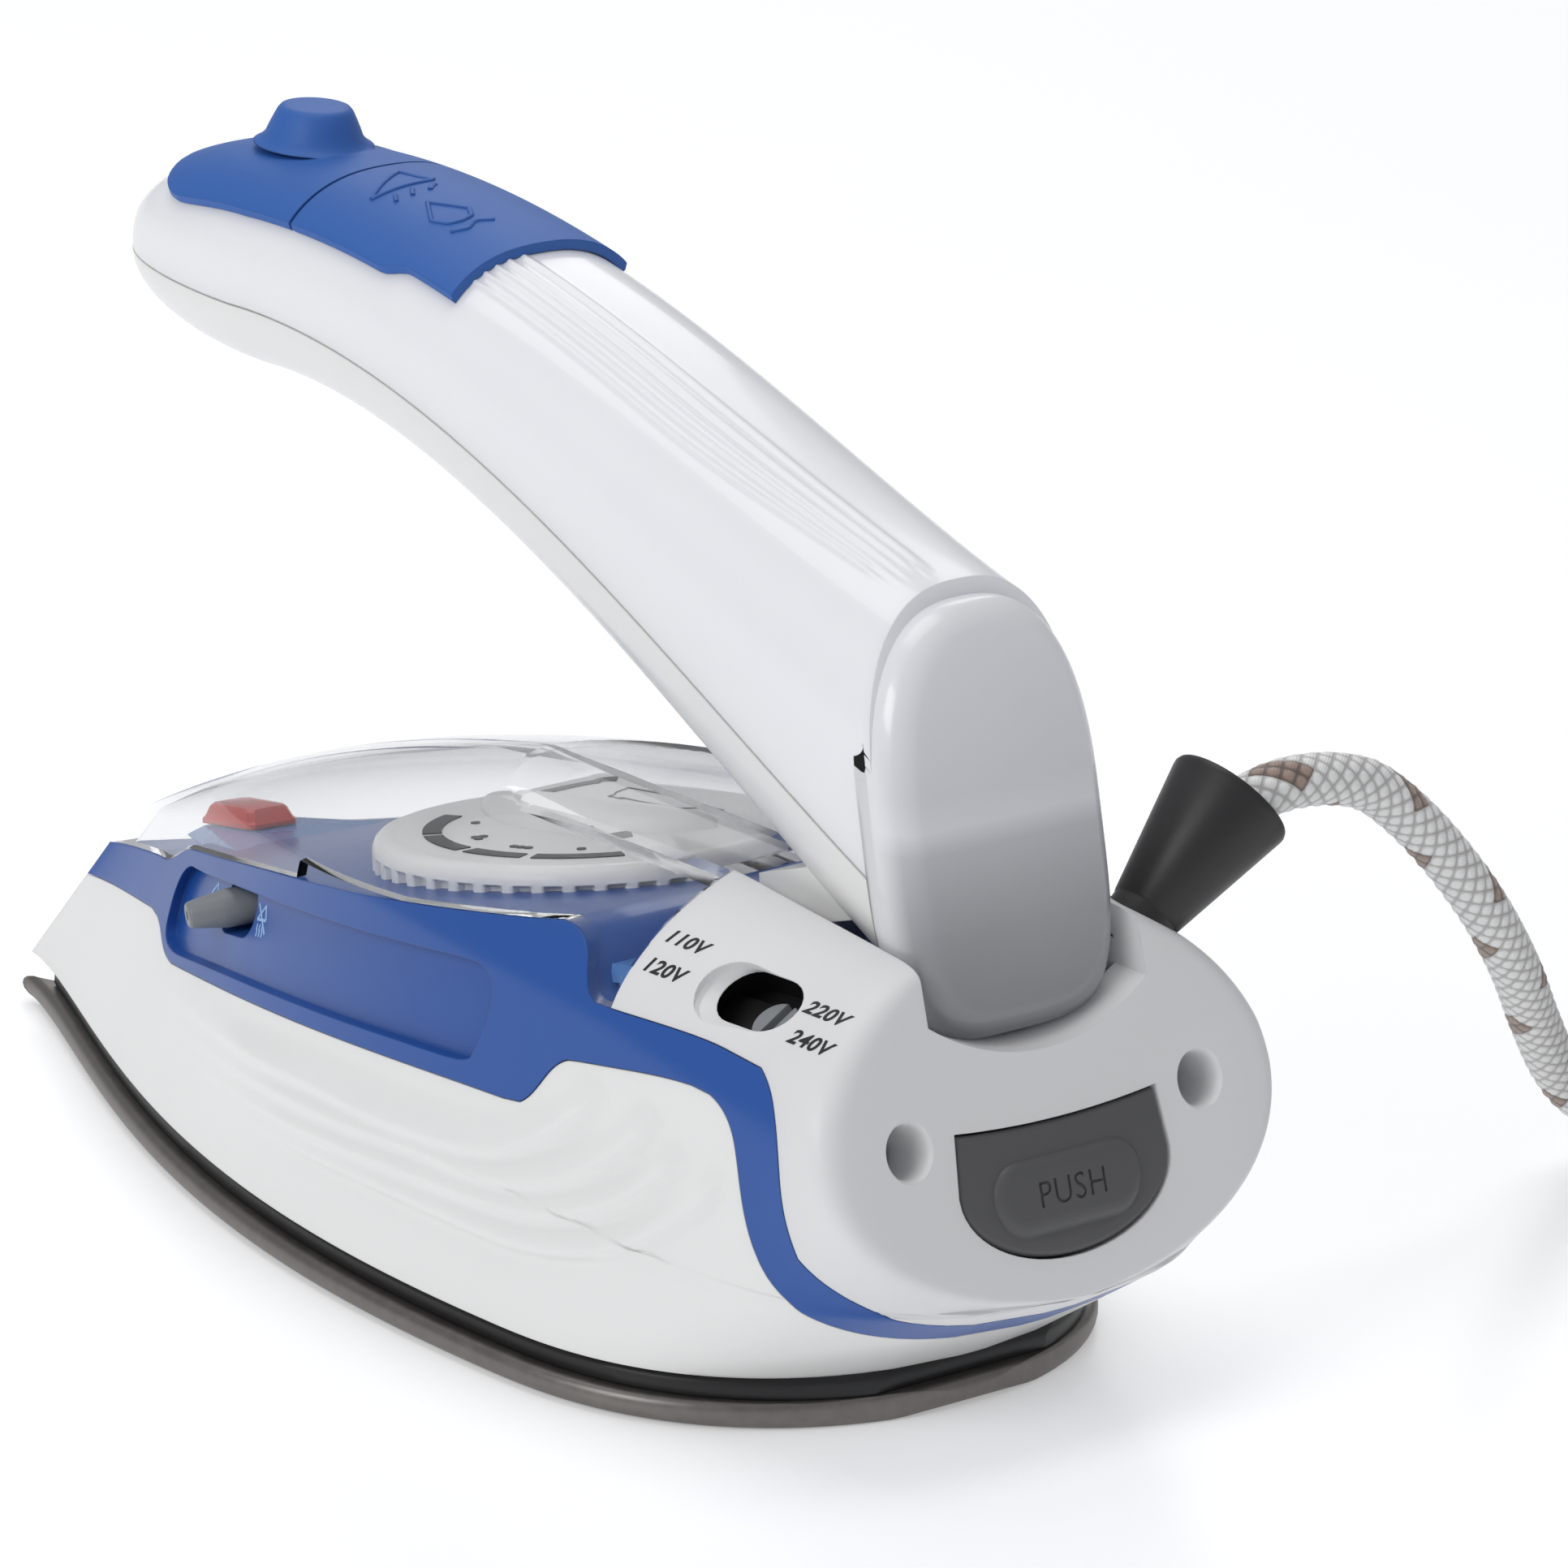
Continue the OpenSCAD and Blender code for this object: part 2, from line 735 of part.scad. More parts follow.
// One section: angle f runs from f0 to f1, 90 at the top; the wall is moved in by t
function section(s, f0, f1, t, n) = let (
        c = (s[0] + s[1]) / 2,
        half = (s[0] - s[1]) / 2,
        hz = norm(half),
        u = half / hz,
        kz = max(0.3, hz - t) / hz,
        ky = max(0.3, s[2] - t))
    [for (i = [0:n]) let (
        f = f0 + (f1 - f0) * i / n,
        e = f > 0 && f < 180 ? s[3] : s[4],
        y = ky * sgn_pow(cos(f), 2 / e),
        v = hz * kz * sgn_pow(sin(f), 2 / e))
        [c[0] + u[0] * v, y, c[1] + u[1] * v]];
SEC = 16;
seam_f = -22;
module handle_part(f0, f1, t, i0 = 0, i1 = TUBE + TIP) {
    skin([for (i = [i0:i1]) section(STATIONS[i], f1, f0, t, SEC)]);
}
filler_x = 42.5;
module water_tank() {
    color("#e3e7ea", 0.55)
        moulding()
            difference() {
                handle_part(seam_f, 180 - seam_f, 0);
                difference() {
                    handle_part(seam_f + 8, 172 - seam_f, tank_wall, 1, TUBE + TIP - 1);
                    translate([-120, -30, 30])
                        cube([41, 60, 30]);
                }
                translate([filler_x, 0, 115])
                    cylinder(r = 5, h = 20);
            }
}
// Web under the leg that holds the hinge barrel, and the foot the latch works on
module leg_web() {
    translate(pivot)
        across(5.5, 29);
    translate([pivot[0] - 4.5, -14.5, pivot[2] + 1])
        cube([7.5, 29, 9]);
    translate([0, 6, 0])
        rotate([90, 0, 0])
            linear_extrude(12)
                polygon([[-88, 43.6], [-84.6, 43.6], [-84.6, 45.2], [-86, 45.2], [-86, 54.3],
                    [-88, 53.3]]);
}
module handle_grip() {
    color("white")
        moulding()
            difference() {
                union() {
                    difference() {
                        handle_part(180 - seam_f, 360 + seam_f, 0);
                        difference() {
                            handle_part(165 - seam_f, 375 + seam_f, 2.2, 5, TUBE + TIP - 2);
                            translate([-120, -30, 30])
                                cube([60, 60, 80]);
                        }
                    }
                    leg_web();
                }
                translate(pivot)
                    across(barrel_r + 0.05, 60);
            }
}
module hinge_barrel() {
    color("white")
        translate(pivot)
            difference() {
                across(barrel_r, 35);
                across(pin_r + 0.05, 60);
            }
}
module hinge_pin() {
    color("silver")
        translate(pivot)
            across(pin_r, 41);
}
pad_t = 1.3;
slit_i = 13;
module filler_pad() {
    color("#2d5cab")
        moulding()
            skin([for (i = [10:slit_i]) concat(
                section(STATIONS[i], 142, 38, -pad_t, SEC),
                section(STATIONS[i], 38, 142, -0.04, SEC))]);
}
knob_z = 125.9;
module filler_flap() {
    color("#2d5cab")
        union() {
            moulding()
                difference() {
                    handle_part(38, 142, -pad_t, slit_i, TUBE + 4);
                    handle_part(seam_f, 180 - seam_f, -0.1);
                    translate([20, -30, 110])
                        cube([9.3, 60, 30]);
                }
            translate([filler_x, 0, knob_z])
                cylinder(r1 = 5.9, r2 = knob_r, h = 5.2);
            translate([filler_x, 0, 122.2])
                cylinder(r1 = 3.4, r2 = 4.7, h = 3.4);
        }
}
hose = [[13, 0, 26.05], [5, -3, 27], [-8, -12, 28.5], [-25, -15, 30], [-42, -13, 32.5],
    [-54, -8, 37], [-61, -3, 42], [-64, 0, 47.5]];
module water_hose() {
    color("#dfe3e4")
        tube(route(hose, 3), [0, 0, 1], 2.2);
}

// ---- cord entry ----
guard_len = 18.6;
module cord_guard() {
    color("#2a2a2b")
        guard_frame()
            difference() {
                union() {
                    translate([0, 0, -3.4])
                        cylinder(r = 4.4, h = 4);
                    cylinder(r1 = 4.5, r2 = 8.1, h = guard_len);
                }
                translate([0, 0, 3])
                    cylinder(r1 = cord_d / 2, r2 = 7.2, h = guard_len - 2.9);
                translate([0, 0, -4])
                    cylinder(r = cord_d / 2, h = 8);
            }
}
wire_step = 2.1;
wire_line = [[-85.8, -23.4, 54.6], [-84.4, -24.4, 51], [-82, -25, 46.5], [-80.7, -24.6, 42],
    [-80.3, -23.2, 37], [-79.8, -20, 32.5], [-79.3, -15, 29.4], [-79, -10.5, 27.5],
    [-79, -8.5, 26]];
module lead_wires() {
    color("#9a4a2c")
        for (k = [-1:1])
            tube(route([for (p = wire_line) p + [k * wire_step, 0, 0]], 2), [1, 0, 0], 0.9, 10);
}
module cord_clamp() {
    color("#d8d8d4")
        difference() {
            translate([-85.2, -27, 40])
                cube([9, 5, 4]);
            for (k = [-1:1])
                translate([-80.75 + k * wire_step, -24.65, 39])
                    cylinder(r = 0.98, h = 6, $fn = 24);
        }
}
module terminal_block() {
    color("#e9e6dc")
        difference() {
            translate([-86, -13, 17])
                cube([14, 26, 9]);
            for (i = [-1:1])
                translate([-82.5, i * 8, 20])
                    cylinder(r = 2, h = 10, $fn = 24);
        }
}

// ---- mains cord: free run, coil on the table, tail and plug ----
cord_line = [[-85.8, -24.6, 56.3], [-85.8, -28, 59.3], [-85.8, -31.5, 62.4],
    [-85.8, -35.6, 65.5], [-85.8, -40, 67.8], [-86, -45, 69.2], [-86, -50.5, 69.5],
    [-86, -58, 68.5], [-86, -65, 65.8], [-86, -75, 58.2], [-85.4, -86, 47.6],
    [-82.1, -97, 36.6], [-76.7, -108, 25.6], [-72.7, -117, 16.8], [-71, -124, 10.9],
    [-70.5, -131, 6.8], [-70.4, -139, 4.7], [-70.4, -147, 4.3], [-70.4, -157, 4.3]];
coil_x = -112;
coil_y = -157;
turn_r = 41.6;
low_z = 0.9 + cord_d / 2;
high_z = low_z + 2 * cord_d;
module cord() {
    color("#e8e8e6")
        tube(route(cord_line, 3), [1, 0, 0], cord_d / 2, 12);
}
module one_turn(r, z, a, turn) {
    translate([0, 0, z])
        rotate([0, 0, a])
            rotate_extrude(angle = turn)
                translate([r, 0])
                    circle(r = cord_d / 2);
}
module cord_coil() {
    color("#e8e8e6")
        translate([coil_x, coil_y, 0]) {
            rotate_extrude($fn = 96)
                polygon([[27, 0.9], [36.5, 0.9], [38.6, 2.6], [38.6, 8.6], [44.2, 9],
                    [45, 11.1], [44.2, 13.4], [43.2, 15.1], [33, 15.1], [31.6, 14.5],
                    [27, 14.5], [24.6, 12.4], [24.6, 3]]);
            one_turn(turn_r, low_z, 35, 325);
            one_turn(turn_r, high_z, 180, 290);
            one_turn(turn_r - 6.9, high_z, 17.4, 150);
        }
}
module coil_tie() {
    color("#1c1c1d")
        translate([coil_x - 4, coil_y + 23.4, 0])
            difference() {
                cube([8, 22.6, 22.4]);
                translate([-1, 0.8, 0.9])
                    cube([10, 21, 20.7]);
            }
}
plug_p = [-98.4, -184.2, 30.4];
tail_line = [[-78.8, -146.6, high_z], [-77.5, -158.3, 20], [-80.8, -169.5, 24],
    [-88.2, -178.6, 28.2], plug_p];
module cord_tail() {
    color("#e8e8e6")
        tube(route(tail_line, 3), [0, 0, 1], cord_d / 2, 12);
}
// The plug lies on the coil and points away from it; local z runs along it
module plug_frame() {
    translate(plug_p)
        rotate([0, 0, 197.4])
            rotate([0, 90, 0])
                children();
}
module plug() {
    color("#2a2a2b")
        plug_frame() {
            cylinder(r1 = 3.9, r2 = 5.6, h = 14);
            translate([0, 0, 14 - eps])
                linear_extrude(30)
                    offset(4)
                        square([10, 17], center = true);
        }
}
module plug_pins() {
    color("silver")
        plug_frame()
            for (side = [1, -1])
                translate([-3.15, side * 6.35 - 0.75, 44])
                    cube([6.3, 1.5, 16]);
}

soleplate();
heating_element();
steam_cover();
insulating_skirt();
sole_screws();
lower_shell();
trim_band();
top_deck();
clear_dome();
lamp_cover();
neon_lamp();
temperature_dial();
dial_shaft();
thermostat();
thermal_fuse();
steam_slider();
valve_needle();
drip_valve();
rear_housing();
housing_screws();
voltage_selector();
voltage_switch();
release_button();
latch_hook();
button_spring();
hinge_pin();
water_tank();
handle_grip();
hinge_barrel();
filler_pad();
filler_flap();
water_hose();
cord_guard();
cord_clamp();
terminal_block();
lead_wires();
cord();
cord_coil();
coil_tie();
cord_tail();
plug();
plug_pins();
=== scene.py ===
"""Folding travel steam iron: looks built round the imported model, in metres; its forms are in mm."""
import math
from functools import partial
import bpy
import bmesh
import numpy as np
from mathutils import Matrix, Vector
from mathutils.bvhtree import BVHTree


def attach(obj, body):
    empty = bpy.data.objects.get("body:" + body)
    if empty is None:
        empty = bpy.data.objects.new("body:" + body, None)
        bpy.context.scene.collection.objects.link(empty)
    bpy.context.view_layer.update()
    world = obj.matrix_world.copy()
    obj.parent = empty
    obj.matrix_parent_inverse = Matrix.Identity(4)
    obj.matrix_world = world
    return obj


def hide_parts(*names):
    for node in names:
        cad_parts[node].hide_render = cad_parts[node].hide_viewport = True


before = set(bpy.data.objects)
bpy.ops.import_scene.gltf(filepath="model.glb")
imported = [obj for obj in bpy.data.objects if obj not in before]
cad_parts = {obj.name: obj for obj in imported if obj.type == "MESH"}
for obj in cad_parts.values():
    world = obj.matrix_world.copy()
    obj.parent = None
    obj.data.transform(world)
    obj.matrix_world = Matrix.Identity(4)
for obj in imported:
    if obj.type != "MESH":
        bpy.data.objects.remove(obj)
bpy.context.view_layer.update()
MM = 0.001
scene = bpy.context.scene
PI = math.pi


def fine(full):
    return full


# ---- mesh helpers
def link(name, data):
    obj = bpy.data.objects.new(name, data)
    scene.collection.objects.link(obj)
    return obj


def shade(obj, angle):
    """Smooth shading that stays sharp where faces meet at more than the angle."""
    bm = bmesh.new()
    bm.from_mesh(obj.data)
    limit = math.radians(angle)
    for face in bm.faces:
        face.smooth = True
    for edge in bm.edges:
        edge.smooth = not edge.is_manifold or edge.calc_face_angle(0) < limit
    bm.to_mesh(obj.data)
    bm.free()


def clean(mesh, weld, thin=0):
    """Welds close points, dissolves slivers and turns all faces outwards."""
    bm = bmesh.new()
    bm.from_mesh(mesh)
    if weld:
        bmesh.ops.remove_doubles(bm, verts=bm.verts, dist=weld)
    if thin:
        bmesh.ops.dissolve_degenerate(bm, dist=thin, edges=bm.edges)
    bmesh.ops.recalc_face_normals(bm, faces=bm.faces)
    bm.to_mesh(mesh)
    bm.free()


def loft(name, rings, smooth=30, loop=False, weld=2e-6):
    """A skin over closed rings of equal length, in mm: capped, or with the last ring joined to the first."""
    rings = np.asarray(rings, float) * MM
    n, m = rings.shape[:2]
    faces = []
    for i in range(n if loop else n - 1):
        a, b = i * m, ((i + 1) % n) * m
        faces += [(a + j, a + (j + 1) % m, b + (j + 1) % m, b + j) for j in range(m)]
    if not loop:
        faces += [tuple(range(m))[::-1], tuple((n - 1) * m + j for j in range(m))]
    mesh = bpy.data.meshes.new(name)
    mesh.from_pydata([tuple(p) for p in rings.reshape(-1, 3)], [], faces)
    clean(mesh, weld, 1e-7 if weld else 0)
    obj = link(name, mesh)
    if smooth:
        shade(obj, smooth)
    return obj


def prism(points, y0=-60, y1=60):
    """A prism along Y from an outline in the side view, in mm."""
    return loft("cutter", [[(x, y, z) for x, z in points] for y in (y0, y1)], 0)


def box(lo, hi):
    (x0, y0, z0), (x1, y1, z1) = lo, hi
    return loft("cutter", [[(x0, y0, z), (x1, y0, z), (x1, y1, z), (x0, y1, z)] for z in (z0, z1)], 0)


def circle(n):
    a = np.linspace(0, 2 * PI, n, endpoint=False)
    return np.stack([np.cos(a), np.sin(a)], 1)


def at_height(outline, z):
    """A flat outline as points at height z."""
    return np.c_[outline, np.full(len(outline), z)]


def slab(outline, z0, z1):
    return loft("slab", [at_height(outline, z) for z in (z0, z1)], 0)


def place(obj, matrix):
    """Moves a mesh's points by a matrix stated in mm."""
    m = matrix.copy()
    m.translation = m.translation * MM
    obj.data.transform(m)
    return obj


def lathe(name, profile, matrix, n=64, smooth=30, loop=False):
    """Turns an outline of (radius, height) in mm about the matrix's Z."""
    return place(loft(name, [at_height(r * circle(n), z) for r, z in profile], smooth, loop), matrix)


def turned(degrees, axis, at):
    m = Matrix.Rotation(math.radians(degrees), 4, axis)
    m.translation = at
    return m


def frame_at(origin, z_dir, x_dir):
    z = Vector(z_dir).normalized()
    x = Vector(x_dir)
    x = (x - z * x.dot(z)).normalized()
    m = Matrix((x, z.cross(x), z)).transposed().to_4x4()
    m.translation = Vector(origin)
    return m


def drop(obj):
    mesh = obj.data
    bpy.data.objects.remove(obj)
    bpy.data.meshes.remove(mesh)


def cut(obj, *cutters, op="DIFFERENCE"):
    """Booleans that use up the cutters; the exact solver steps in where the fast one leaves nothing."""
    for cutter in cutters:
        mod = obj.modifiers.new("cut", "BOOLEAN")
        mod.object, mod.operation = cutter, op
        for solver in ("MANIFOLD", "EXACT"):
            mod.solver = solver
            made = bpy.data.meshes.new_from_object(obj.evaluated_get(bpy.context.evaluated_depsgraph_get()))
            if len(made.polygons):
                break
        obj.modifiers.clear()
        obj.data = made
        drop(cutter)
    return obj


def join(name, objs):
    bm = bmesh.new()
    for o in objs:
        bm.from_mesh(o.data)
        drop(o)
    mesh = bpy.data.meshes.new(name)
    bm.to_mesh(mesh)
    bm.free()
    return link(name, mesh)


# ---- lines
def run(line):
    """Distance along a line at each of its points."""
    return np.r_[0, np.cumsum(np.linalg.norm(np.diff(line, axis=0), axis=1))]


def tangents(line):
    t = np.gradient(line, axis=0)
    return t / np.linalg.norm(t, axis=1)[:, None]


def normals(line):
    """Unit normals to the left of a flat line."""
    t = tangents(line)
    return np.stack([-t[:, 1], t[:, 0]], 1)


def bezier(p, t):
    return (1 - t) ** 3 * p[0] + 3 * t * (1 - t) ** 2 * p[1] + 3 * t * t * (1 - t) * p[2] + t ** 3 * p[3]


def step(a, b, v):
    t = np.clip((v - a) / (b - a), 0, 1)
    return t * t * (3 - 2 * t)


def route(points, n):
    """Smooth line through the points, n steps between each two."""
    p = np.asarray(points, float)
    out = []
    for i in range(len(p) - 1):
        a, b = p[max(i - 1, 0)], p[i]
        c, d = p[i + 1], p[min(i + 2, len(p) - 1)]
        for k in range(n):
            t = k / n
            out.append(b + (c - a) * t / 2 + (2 * a - 5 * b + 4 * c - d) * t * t / 2
                       + (3 * b - a - 3 * c + d) * t ** 3 / 2)
    out.append(p[-1])
    return np.array(out)


# ---- materials
def nodes_of(name):
    mat = bpy.data.materials.new(name)
    mat.use_nodes = True
    tree = mat.node_tree
    return mat, tree, tree.nodes["Principled BSDF"]


def fill(node, **values):
    """Sets a node's inputs by name, with underscores for spaces."""
    for key, value in values.items():
        node.inputs[key.replace("_", " ")].default_value = value


def math_node(tree, op, a, b=None):
    node = tree.nodes.new("ShaderNodeMath")
    node.operation = op
    for i, v in enumerate((a, b)):
        if isinstance(v, (int, float)):
            node.inputs[i].default_value = v
        elif v is not None:
            tree.links.new(v, node.inputs[i])
    return node.outputs[0]


def coords(tree):
    return tree.nodes.new("ShaderNodeTexCoord").outputs["Object"]


def noise(tree, scale, detail=4.0, rough=0.5):
    node = tree.nodes.new("ShaderNodeTexNoise")
    fill(node, Scale=scale, Detail=detail, Roughness=rough)
    tree.links.new(coords(tree), node.inputs["Vector"])
    return node.outputs["Fac"]


def ramp(tree, fac, stops):
    node = tree.nodes.new("ShaderNodeValToRGB")
    while len(node.color_ramp.elements) < len(stops):
        node.color_ramp.elements.new(0.5)
    for e, (pos, col) in zip(node.color_ramp.elements, stops):
        e.position = pos
        e.color = (*col, 1)
    tree.links.new(fac, node.inputs["Fac"])
    return node.outputs["Color"]


def mixed(tree, factor, a, b, blend="MIX"):
    node = tree.nodes.new("ShaderNodeMix")
    node.data_type, node.blend_type = "RGBA", blend
    for i, socket in ((0, factor), (6, a), (7, b)):  # the colour sockets
        tree.links.new(socket, node.inputs[i])
    return node.outputs[2]


def bump_map(tree, bsdf, height, strength, distance=0.0002, normal=None):
    node = tree.nodes.new("ShaderNodeBump")
    fill(node, Strength=strength, Distance=distance)
    tree.links.new(height, node.inputs["Height"])
    if normal:
        tree.links.new(normal, node.inputs["Normal"])
    tree.links.new(node.outputs[0], bsdf.inputs["Normal"])


def surface(name, color, tints, rough, spread, bump, noises, edge=0.0):
    """Colour, gloss and relief each follow a noise; noises are (scale, detail, roughness) of the three."""
    mat, tree, bsdf = nodes_of(name)
    tone, smear, grain = (noise(tree, *settings) for settings in noises)
    low, high = (tuple(np.minimum(np.array(color) * k, 1)) for k in tints)
    tree.links.new(ramp(tree, tone, [(0.3, low), (0.7, high)]), bsdf.inputs["Base Color"])
    swing = math_node(tree, "MULTIPLY", smear, 2 * spread)
    tree.links.new(math_node(tree, "ADD", swing, rough - spread), bsdf.inputs["Roughness"])
    soft = None
    if edge:
        bevel = tree.nodes.new("ShaderNodeBevel")
        bevel.samples = 4
        fill(bevel, Radius=edge * MM)
        soft = bevel.outputs[0]
    bump_map(tree, bsdf, grain, bump, normal=soft)
    return mat, bsdf


def plastic(name, color, rough=0.3, spread=0.05, tint=0.03, grain=900, bump=0.02, coat=0.0, sss=0.0,
            trans=0.0, ior=1.46, edge=0.25, coat_rough=0.08, spec=0.5):
    """Moulded plastic: slight colour and gloss variation, fine grain and softened edges."""
    mat, bsdf = surface(name, color, (1 - tint, 1 + tint), rough, spread, bump,
                        ((28, 3), (60, 5, 0.65), (grain, 3, 0.6)), edge)
    fill(bsdf, Coat_Weight=coat, Coat_Roughness=coat_rough, Transmission_Weight=trans, IOR=ior,
         Specular_IOR_Level=spec)
    if sss:
        fill(bsdf, Subsurface_Weight=sss, Subsurface_Radius=(0.006, 0.006, 0.007), Subsurface_Scale=1.0)
    return mat


def metal(name, color, rough, grain, bump):
    mat, bsdf = surface(name, color, (0.9, 1.08), rough, 0.08, bump, ((grain, 5),) * 3)
    fill(bsdf, Metallic=0.9)
    return mat


WHITE = plastic("white_moulding", (0.80, 0.80, 0.79), 0.30, 0.05, 0.012, coat=0.25, sss=0.12)
HOUSE = plastic("white_housing", (0.74, 0.74, 0.745), 0.42, 0.05, 0.012, bump=0.05, sss=0.1)
BLUE = plastic("blue_band", (0.016, 0.082, 0.335), 0.33, 0.05, 0.03, coat=0.16, edge=0.3, coat_rough=0.16,
               spec=0.4)
DECK = plastic("blue_deck", (0.055, 0.19, 0.50), 0.28, 0.05, 0.03, coat=0.3)
RUBBER = plastic("blue_rubber", (0.026, 0.115, 0.41), 0.55, 0.06, 0.04, grain=1600, bump=0.08, edge=0.3)
TANK = plastic("frosted_tank", (0.84, 0.845, 0.87), 0.30, 0.05, 0.01, coat=0.4, sss=0.25, edge=0.3)
DOME = plastic("clear_dome", (0.985, 0.99, 0.995), 0.03, 0.015, 0.0, bump=0.0, trans=1.0, ior=1.08, edge=0.0,
               coat=0.45, coat_rough=0.02)
LENS = plastic("red_lens", (0.70, 0.022, 0.010), 0.18, 0.04, 0.02, coat=0.3)
LAMP = plastic("lamp_glass", (0.9, 0.45, 0.3), 0.08, 0.03, 0.02, trans=0.7)
BUTTON = plastic("button_grey", (0.085, 0.085, 0.087), 0.45, 0.06, 0.03, grain=1300, bump=0.10)
GREY = plastic("grey_plastic", (0.22, 0.235, 0.245), 0.42, 0.06, 0.03, bump=0.06)
BLACK = plastic("black_plastic", (0.012, 0.012, 0.013), 0.5, 0.07, 0.05, bump=0.08)
GUARD = plastic("guard_rubber", (0.020, 0.019, 0.020), 0.42, 0.08, 0.06, grain=700, bump=0.12)
INK = plastic("black_print", (0.012, 0.012, 0.012), 0.5, 0.05, 0.02, edge=0.0)
DIAL_WHITE = plastic("dial_white", (0.86, 0.86, 0.85), 0.36, 0.05, 0.01, coat=0.1)
CERAMIC = plastic("ceramic", (0.62, 0.58, 0.5), 0.6, 0.06, 0.04, bump=0.15)
HOSE = plastic("silicone", (0.72, 0.74, 0.74), 0.4, 0.05, 0.02, sss=0.2)
WIRE = plastic("wire_jacket", (0.16, 0.035, 0.012), 0.5, 0.05, 0.03)
SKIRT = plastic("skirt_black", (0.010, 0.010, 0.011), 0.42, 0.06, 0.04, bump=0.06)
PALE = plastic("pale_blue_print", (0.30, 0.50, 0.80), 0.4, 0.04, 0.02, edge=0.0)
SOLE = metal("sole_coating", (0.20, 0.185, 0.175), 0.42, 500, 0.08)
STEEL = metal("steel", (0.62, 0.63, 0.64), 0.28, 900, 0.05)
SHEET = metal("cover_sheet", (0.68, 0.69, 0.69), 0.38, 300, 0.06)
PLATED = metal("plated_pins", (0.78, 0.77, 0.73), 0.16, 700, 0.03)
def paint_light_and_shade_on_rear_face(mat):
    """Painted light and shade by height on the tank's opaque rear face, in place of light through the translucent
    tank: painted shade dark at the hinge, a painted light line half-way up.
    """
    tree = mat.node_tree
    calc = partial(math_node, tree)
    color = tree.nodes["Principled BSDF"].inputs["Base Color"]
    was = color.links[0].from_socket
    parts = tree.nodes.new("ShaderNodeSeparateXYZ")
    tree.links.new(coords(tree), parts.inputs[0])
    x, z = parts.outputs["X"], parts.outputs["Z"]
    depth = calc("ADD", calc("MULTIPLY", calc("ADD", x, 0.0797), 0.964),
                 calc("MULTIPLY", calc("ADD", z, -0.0995), -0.266))
    # keeps the painted light and shade to the rear face
    painted_light_and_shade_mask = ramp(tree, calc("MULTIPLY", depth, 100), [(0.15, (1, 1, 1)), (0.55, (0, 0, 0))])
    height = calc("MULTIPLY", calc("ADD", z, -0.045), 1 / 0.055)
    # painted shade low down at the hinge, a painted light line half-way up
    tone = ramp(tree, height, [(0.04, (0.22, 0.22, 0.225)), (0.30, (0.40, 0.40, 0.41)),
                               (0.48, (0.62, 0.62, 0.63)), (0.53, (0.84, 0.84, 0.85)),
                               (0.60, (0.80, 0.80, 0.81)), (0.95, (0.92, 0.92, 0.92))])
    tree.links.new(mixed(tree, painted_light_and_shade_mask, was, tone, "MULTIPLY"), color)


def paint_edge_on_reflection(mat, blend, stops):
    """Painted reflection: darkens a clear material where it is seen edge-on, standing in for the darker grey it
    reflects there.
    """
    tree = mat.node_tree
    layer = tree.nodes.new("ShaderNodeLayerWeight")
    fill(layer, Blend=blend)
    color = tree.nodes["Principled BSDF"].inputs["Base Color"]
    tree.links.new(ramp(tree, layer.outputs["Facing"], stops), color)


# painted light and shade on the tank's rear face
paint_light_and_shade_on_rear_face(TANK)
# painted grey reflection on the dome where it is seen edge-on
paint_edge_on_reflection(DOME, 0.35, [(0.30, (0.99, 0.99, 0.99)), (0.75, (0.84, 0.85, 0.86)), (0.97, (0.34, 0.35, 0.36))])


def braid_material():
    """Braided cover: light strands crossed by short brown marks, from the tube's own UV, with painted shade in the
    grooves between strands.
    """
    mat, tree, bsdf = nodes_of("cord_braid")
    calc = partial(math_node, tree)
    sep = tree.nodes.new("ShaderNodeSeparateXYZ")
    tree.links.new(tree.nodes.new("ShaderNodeUVMap").outputs[0], sep.inputs[0])
    u, v = sep.outputs[0], sep.outputs[1]
    strands = calc("ADD", u, v), calc("SUBTRACT", u, v)
    hill = calc("MULTIPLY", *(calc("ABSOLUTE", calc("SINE", calc("MULTIPLY", s, PI))) for s in strands))
    mark = calc("MULTIPLY", *(calc("LESS_THAN", calc("FLOORED_MODULO", calc("FLOOR", s), 8.0), width)
                              for s, width in zip(strands, (3.5, 1.5))))
    # painted shade: both colours go darker down in the grooves between strands
    light = ramp(tree, hill, [(0.0, (0.42, 0.41, 0.40)), (0.55, (0.83, 0.83, 0.82))])
    dark = ramp(tree, hill, [(0.0, (0.10, 0.07, 0.055)), (0.6, (0.34, 0.245, 0.20))])
    tree.links.new(mixed(tree, mark, light, dark), bsdf.inputs["Base Color"])
    thread = calc("SINE", calc("MULTIPLY", strands[0], PI * 10))
    bump_map(tree, bsdf, calc("ADD", hill, calc("MULTIPLY", thread, 0.08)), 0.8, 0.00025)
    fill(bsdf, Roughness=0.55, Sheen_Weight=0.3)
    return mat


BRAID = braid_material()


def dress(obj, mat):
    obj.data.materials.clear()
    obj.data.materials.append(mat)
    return obj


def stands(obj, mat, body, slot, *nodes):
    dress(obj, mat)
    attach(obj, body)
    if nodes:
        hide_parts(*nodes)
    return obj


